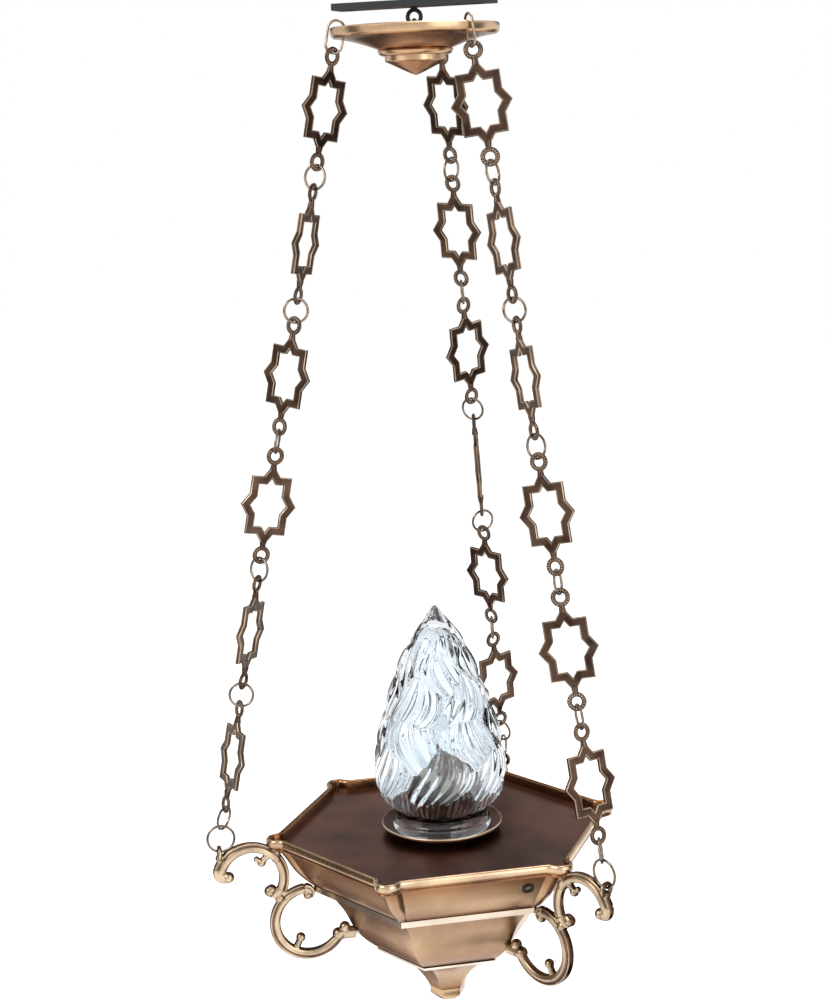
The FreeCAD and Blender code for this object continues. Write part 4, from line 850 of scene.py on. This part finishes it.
def arm_patches(groove):
    """Every bar, ball and peg of one arm, in XZ with heights from the lamp's rim."""
    tip = on_circle(UPPER_SCROLL, UPPER_SCROLL_R - 5.5, UPPER_SPAN[0])
    nose = on_circle(UPPER_SCROLL, UPPER_SCROLL_R - 6.0, UPPER_SPAN[1])
    crest = on_circle(LOWER_SCROLL, LOWER_SCROLL_R - 4.2, LOWER_SPAN[1])
    foot_end = on_circle(LOWER_SCROLL, LOWER_SCROLL_R, LOWER_SPAN[0])
    return [
        bar_along(UPPER_SCROLL, UPPER_SCROLL_R, *UPPER_SPAN, (5.2, 4.0, 4.2), 3.8, groove, 110),
        bar_along(tip, 5.5, 24.0, -110.0, (5.2, 4.2, 2.6), 3.6, groove * 0.5, 40),
        ball_grid(on_circle(tip, 4.5, -110.0), 4.4),
        bar_along(nose, 6.0, 203.0, 323.0, (4.2, 3.4, 2.6), 3.4, groove * 0.5, 40),
        ball_grid(on_circle(nose, 5.0, 323.0), 4.3),
        bar_along(LOWER_SCROLL, LOWER_SCROLL_R, *LOWER_SPAN, (3.8, 4.4, 3.8), 3.8, groove, 130),
        bar_along(crest, 4.2, 84.0, 225.0, (3.8, 3.2, 2.4), 3.3, groove * 0.5, 36),
        ball_grid(on_circle(crest, 2.2, 225.0), 3.7),
        ball_grid((130.4, -49.6), 4.2), ball_grid((136.6, -42.0), 3.9),
        ball_grid((143.2, -19.2), 3.6), ball_grid((147.0, -16.4), 2.4), ball_grid((140.2, -15.6), 2.4),
        peg_grid((143.2, -19.2), (136.0, -11.5), 2.6, 3.0),
        ball_grid((115.6, -84.0), 3.8),
        peg_grid((115.6, -84.0), on_circle(LOWER_SCROLL, LOWER_SCROLL_R, -62.0), 2.6, 3.0),
        ball_grid((80.6, -79.4), 4.3), peg_grid((80.6, -79.4), foot_end, 2.8, 3.0),
        peg_grid((125.2, -55.4), (131.6, -58.6), 0.7, 1.8),
        peg_grid((72.4, -84.5), (86.0, -84.5), 4.8, 4.8), ball_grid((86.0, -84.5), 4.8),
        peg_grid((131.6, -10.5), (131.6, -19.5), 3.6, 3.6),
        ball_grid((CHAIN_FOOT_R, -12.4), 3.4),
    ]


def arm_mesh(groove):
    """One arm as a single cast skin: its pieces are merged by voxels and softened where they meet."""
    rough = build("arm_pattern", arm_patches(groove))
    merge = rough.modifiers.new("merge", "REMESH")
    merge.mode = "VOXEL"
    merge.voxel_size = ARM_VOXEL * MM
    soften = rough.modifiers.new("soften", "SMOOTH")
    soften.factor = 0.5
    soften.iterations = 1
    bpy.context.view_layer.update()
    mesh = bpy.data.meshes.new_from_object(rough.evaluated_get(bpy.context.evaluated_depsgraph_get()))
    bpy.data.objects.remove(rough)
    return mesh


def rub(mesh):
    """Write the wear of an arm that stands in XZ.

    Its flat sides are rubbed pale; its edges and the groove beside each scroll's outer rib stay dark.
    A point's place across a scroll is its distance from the scroll's circle over the bar's half width."""
    normal = np.empty(len(mesh.vertices) * 3, np.float32)
    mesh.vertex_normals.foreach_get("vector", normal)
    place = np.empty(len(mesh.vertices) * 3, np.float32)
    mesh.vertices.foreach_get("co", place)
    place = place.reshape(-1, 3) / MM
    flat = 0.9 * np.clip((np.abs(normal.reshape(-1, 3)[:, 1]) - 0.5) / 0.45, 0, 1)
    for centre, radius, (start, end) in ((UPPER_SCROLL, UPPER_SCROLL_R, UPPER_SPAN),
                                         (LOWER_SCROLL, LOWER_SCROLL_R, LOWER_SPAN)):
        across, rise = place[:, 0] - centre[0], place[:, 2] - centre[1]
        out = (np.hypot(across, rise) - radius) / SCROLL_HALF
        held = (np.degrees(np.arctan2(rise, across)) - start) % 360 < end - start
        flat = flat * (1 - 0.95 * held * np.exp(-((out - GROOVE_PLACE) / GROOVE_WIDTH) ** 2))
    wear_and_highlight = mesh.attributes.get("wear_and_highlight") or mesh.attributes.new("wear_and_highlight", "FLOAT", "POINT")
    wear_and_highlight.data.foreach_set("value", flat)


class LAMP_OT_arms(bpy.types.Operator):
    """Cast the three scroll arms with their volutes, leaf knobs and ring eyes"""
    bl_idname = "lamp.arms"
    bl_label = "Scroll arms"

    def execute(self, context):
        cast = arm_mesh(context.scene.lamp_sizes.arm_groove / MM)
        eye = ring_grid(4.4, 1.7, 1.7, around=36)
        points = eye[0][..., [1, 0, 2]] + np.array([CHAIN_FOOT_R, 0.0, -8.35])
        for letter, angle in CHAINS.items():
            turn = Matrix.Rotation(math.radians(angle), 4, "Z")
            loop = build("eye_" + letter, [(points, *eye[1:])])
            joined = bmesh.new()
            joined.from_mesh(cast)
            joined.from_mesh(loop.data)
            bpy.data.objects.remove(loop)
            mesh = bpy.data.meshes.new("arm_casting_" + letter)
            joined.to_mesh(mesh)
            joined.free()
            rub(mesh)
            mesh.transform(turn @ Matrix.Translation((0, 0, RIM_TOP * MM)))
            stand_for(show("arm_casting_" + letter, mesh, 60.0), "scroll_arm_" + letter, arm_brass())
        return {"FINISHED"}


# ---- plain CAD pieces -----------------------------------------------------------------------------
class LAMP_OT_fittings(bpy.types.Operator):
    """Give the ironwork, the tie rod, the lampholder and the bulb their finishes"""
    bl_idname = "lamp.fittings"
    bl_label = "Ironwork and fittings"

    def execute(self, context):
        paint = moulded("black_painted_iron", context.scene.lamp_colours.iron, 0.6)
        steel = plain_metal("zinc_plated_steel", "#b4b6b8", 0.30)
        contact = plain_metal("bright_brass", "#d8ac5c", 0.22)
        finishes = {
            paint: ("ceiling_bar", "ceiling_eye", "hook_link", "canopy_stem"),
            steel: ("tie_rod", "rod_nuts", "rod_washers", "arm_screws"),
            contact: ("thread_sleeve", "centre_contact"),
            plain_metal("bulb_cap_aluminium", "#c4c4c2", 0.25): ("bulb_cap",),
            moulded("black_phenolic", linear("#16130f"), 0.30): ("lampholder",),
            moulded("off_white_moulding", linear("#d9d4c6"), 0.40): ("bulb_neck", "bulb_filament"),
            moulded("black_rubber", linear("#060606"), 0.80): ("cable_bush",),
            clear_glass("thin_clear_glass", linear("#f4f8fa"), 0.01, 12.0, 0.01): ("bulb_glass",),
        }
        for material, nodes in finishes.items():
            for node in nodes:
                dress(node, material)
        return {"FINISHED"}


# ---- stage ----------------------------------------------------------------------------------------
CAMERA_PLACE = (0.4581, -1.3727, -0.0879)
CAMERA_YAW = 108.993
CAMERA_PITCH = -10.956
CAMERA_ROLL = -2.0814
CAMERA_LENS = 69.91
FLOOR_BELOW = 0.32            # metres under the lamp
FLOOR_GLOW = 0.62
FLOOR_HALF = 7.0              # metres
WORLD_LIGHT = 0.55


def seen_rays(tree):
    """1 on rays from the camera, a mirror or glass, and 0 on the rest."""
    path = add(tree, "LightPath").outputs
    seen = add(tree, "Math", {0: path["Is Camera Ray"], 1: path["Is Glossy Ray"]}, operation="MAXIMUM")
    return add(tree, "Math", {0: seen.outputs[0], 1: path["Is Transmission Ray"]},
               operation="MAXIMUM").outputs[0]


def aimed(place, target):
    """Matrix of an object at a place that looks at a target."""
    way = Vector(target) - Vector(place)
    return Matrix.Translation(place) @ way.to_track_quat("-Z", "Y").to_matrix().to_4x4()


class LAMP_OT_stage(bpy.types.Operator):
    """Set the pale floor, the soft lights, dark studio flags for the metal to mirror, and the camera"""
    bl_idname = "lamp.stage"
    bl_label = "Stage"

    def execute(self, context):
        self.world(context)
        self.floor()
        middle = (0.0, 0.0, RIM_TOP * MM)
        self.light("key", (-1.1, -1.5, 0.75), middle, 1.1, 26.0)
        self.light("fill", (1.5, -0.9, -0.1), middle, 1.2, 12.0)
        self.light("top", (0.2, 0.5, 1.4), middle, 1.0, 18.0)
        self.flag("flag_left", (-1.9, -0.6, -0.5), middle, (0.9, 1.5))
        self.flag("flag_right", (1.3, 0.5, -0.6), middle, (0.7, 1.2))
        self.flag("flag_behind_low", (-0.38, 1.14, -0.66), middle, (2.2, 0.7))
        self.flag("flag_behind_high", (-0.38, 1.14, 0.24), (0.0, 0.0, 0.0), (2.2, 0.5))
        self.flag("flag_floor_left", (-0.95, -0.2, -1.0), middle, (0.6, 0.6), "#4a2c22")
        self.flag("flag_floor_right", (0.40, 0.02, -1.04), (0.40, 0.02, 0.0), (0.42, 0.6), "#3a231a")
        self.flag("flag_under_left", (-0.28, 0.2, -1.05), (-0.1, -0.05, RIM_TOP * MM), (0.5, 0.35),
                  "#6a4032")
        self.camera(context)
        return {"FINISHED"}

    def world(self, context):
        """White to the camera and in mirrors and glass; a softer grey for the light it gives."""
        world = bpy.data.worlds.new("studio")
        context.scene.world = world
        context.scene.view_settings.view_transform = "Standard"
        world.use_nodes = True
        tree = world.node_tree
        tree.nodes.clear()
        strength = add(tree, "MapRange", {0: seen_rays(tree), 3: WORLD_LIGHT, 4: 1.0})
        sky = add(tree, "Background", {"Color": linear("#ffffff"), "Strength": strength.outputs[0]})
        add(tree, "OutputWorld", {"Surface": sky.outputs[0]})

    def floor(self):
        """Pale floor: glows for the camera, mirrors and glass, and keeps the lamp's shadow."""
        level = LAMP_FOOT * MM - FLOOR_BELOW
        side = np.linspace(-FLOOR_HALF, FLOOR_HALF, 2) / MM
        x, y = np.meshgrid(side, side, indexing="ij")
        piece = build("floor", [patch(np.stack([x, y, np.full_like(x, level / MM)], -1), False, False)])
        material = blank("pale_floor")
        tree = material.node_tree
        matt = add(tree, "BsdfDiffuse", {"Color": linear("#f6f6f6")})
        share = add(tree, "Math", {0: seen_rays(tree), 1: FLOOR_GLOW}, operation="MULTIPLY")
        glow = add(tree, "Emission", {"Color": linear("#ffffff"), "Strength": share.outputs[0]})
        both = add(tree, "AddShader", {0: matt.outputs[0], 1: glow.outputs[0]})
        add(tree, "OutputMaterial", {"Surface": both.outputs[0]})
        piece.data.materials.append(material)

    def light(self, name, place, target, size, power):
        """Square soft light."""
        lamp = bpy.data.lights.new(name, "AREA")
        lamp.size = size
        lamp.energy = power
        holder = bpy.data.objects.new(name, lamp)
        bpy.context.scene.collection.objects.link(holder)
        holder.matrix_world = aimed(place, target)

    def flag(self, name, place, target, size, cloth="#1a100c"):
        """Dark card that shows only in mirrors, to give polished metal its dark parts."""
        side = [np.linspace(-half, half, 2) / 2 / MM for half in size]
        x, y = np.meshgrid(*side, indexing="ij")
        piece = build(name, [patch(np.stack([x, y, 0 * x], -1), False, False)])
        piece.data.transform(aimed(place, target))
        piece.visible_camera = piece.visible_diffuse = piece.visible_shadow = False
        piece.visible_transmission = False
        piece.data.materials.append(moulded("studio_cloth_" + cloth[1:], linear(cloth), 0.9))

    def camera(self, context):
        """Camera from its heading, pitch and roll."""
        yaw, pitch, roll = (math.radians(turn) for turn in (CAMERA_YAW, CAMERA_PITCH, CAMERA_ROLL))
        ahead = Vector((math.cos(pitch) * math.cos(yaw), math.cos(pitch) * math.sin(yaw), math.sin(pitch)))
        right = ahead.cross(Vector((0, 0, 1))).normalized()
        up = right.cross(ahead)
        across = right * math.cos(roll) + up * math.sin(roll)
        over = up * math.cos(roll) - right * math.sin(roll)
        data = bpy.data.cameras.new("camera")
        data.lens = CAMERA_LENS
        holder = bpy.data.objects.new("camera", data)
        context.scene.collection.objects.link(holder)
        turn = Matrix((across, over, -ahead)).transposed().to_4x4()
        holder.matrix_world = Matrix.Translation(CAMERA_PLACE) @ turn
        context.scene.camera = holder


# ---- panel ----------------------------------------------------------------------------------------
PIECES = (LAMP_OT_canopy, LAMP_OT_star_links, LAMP_OT_rings, LAMP_OT_bowl, LAMP_OT_glass, LAMP_OT_arms,
          LAMP_OT_fittings, LAMP_OT_stage)


class LAMP_PT_panel(bpy.types.Panel):
    """Sidebar list of the lamp's pieces and settings"""
    bl_idname = "LAMP_PT_panel"
    bl_label = "Sanctuary lamp"
    bl_space_type = "VIEW_3D"
    bl_region_type = "UI"
    bl_category = "Lamp"

    def draw(self, context):
        for settings in (context.scene.lamp_sizes, context.scene.lamp_colours):
            for key in settings.__annotations__:
                self.layout.prop(settings, key)
        for operator in PIECES:
            self.layout.operator(operator.bl_idname)


CLASSES = (LampSizes, LampColours) + PIECES + (LAMP_PT_panel,)


def register():
    for item in CLASSES:
        bpy.utils.register_class(item)
    bpy.types.Scene.lamp_sizes = bpy.props.PointerProperty(type=LampSizes)
    bpy.types.Scene.lamp_colours = bpy.props.PointerProperty(type=LampColours)


def unregister():
    del bpy.types.Scene.lamp_sizes
    del bpy.types.Scene.lamp_colours
    for item in reversed(CLASSES):
        bpy.utils.unregister_class(item)


def main():
    """Build every piece and the stage."""
    register()
    bpy.ops.lamp.canopy()
    bpy.ops.lamp.star_links()
    bpy.ops.lamp.rings()
    bpy.ops.lamp.bowl()
    bpy.ops.lamp.glass()
    bpy.ops.lamp.arms()
    bpy.ops.lamp.fittings()
    bpy.ops.lamp.stage()


if __name__ == "__main__":
    main()
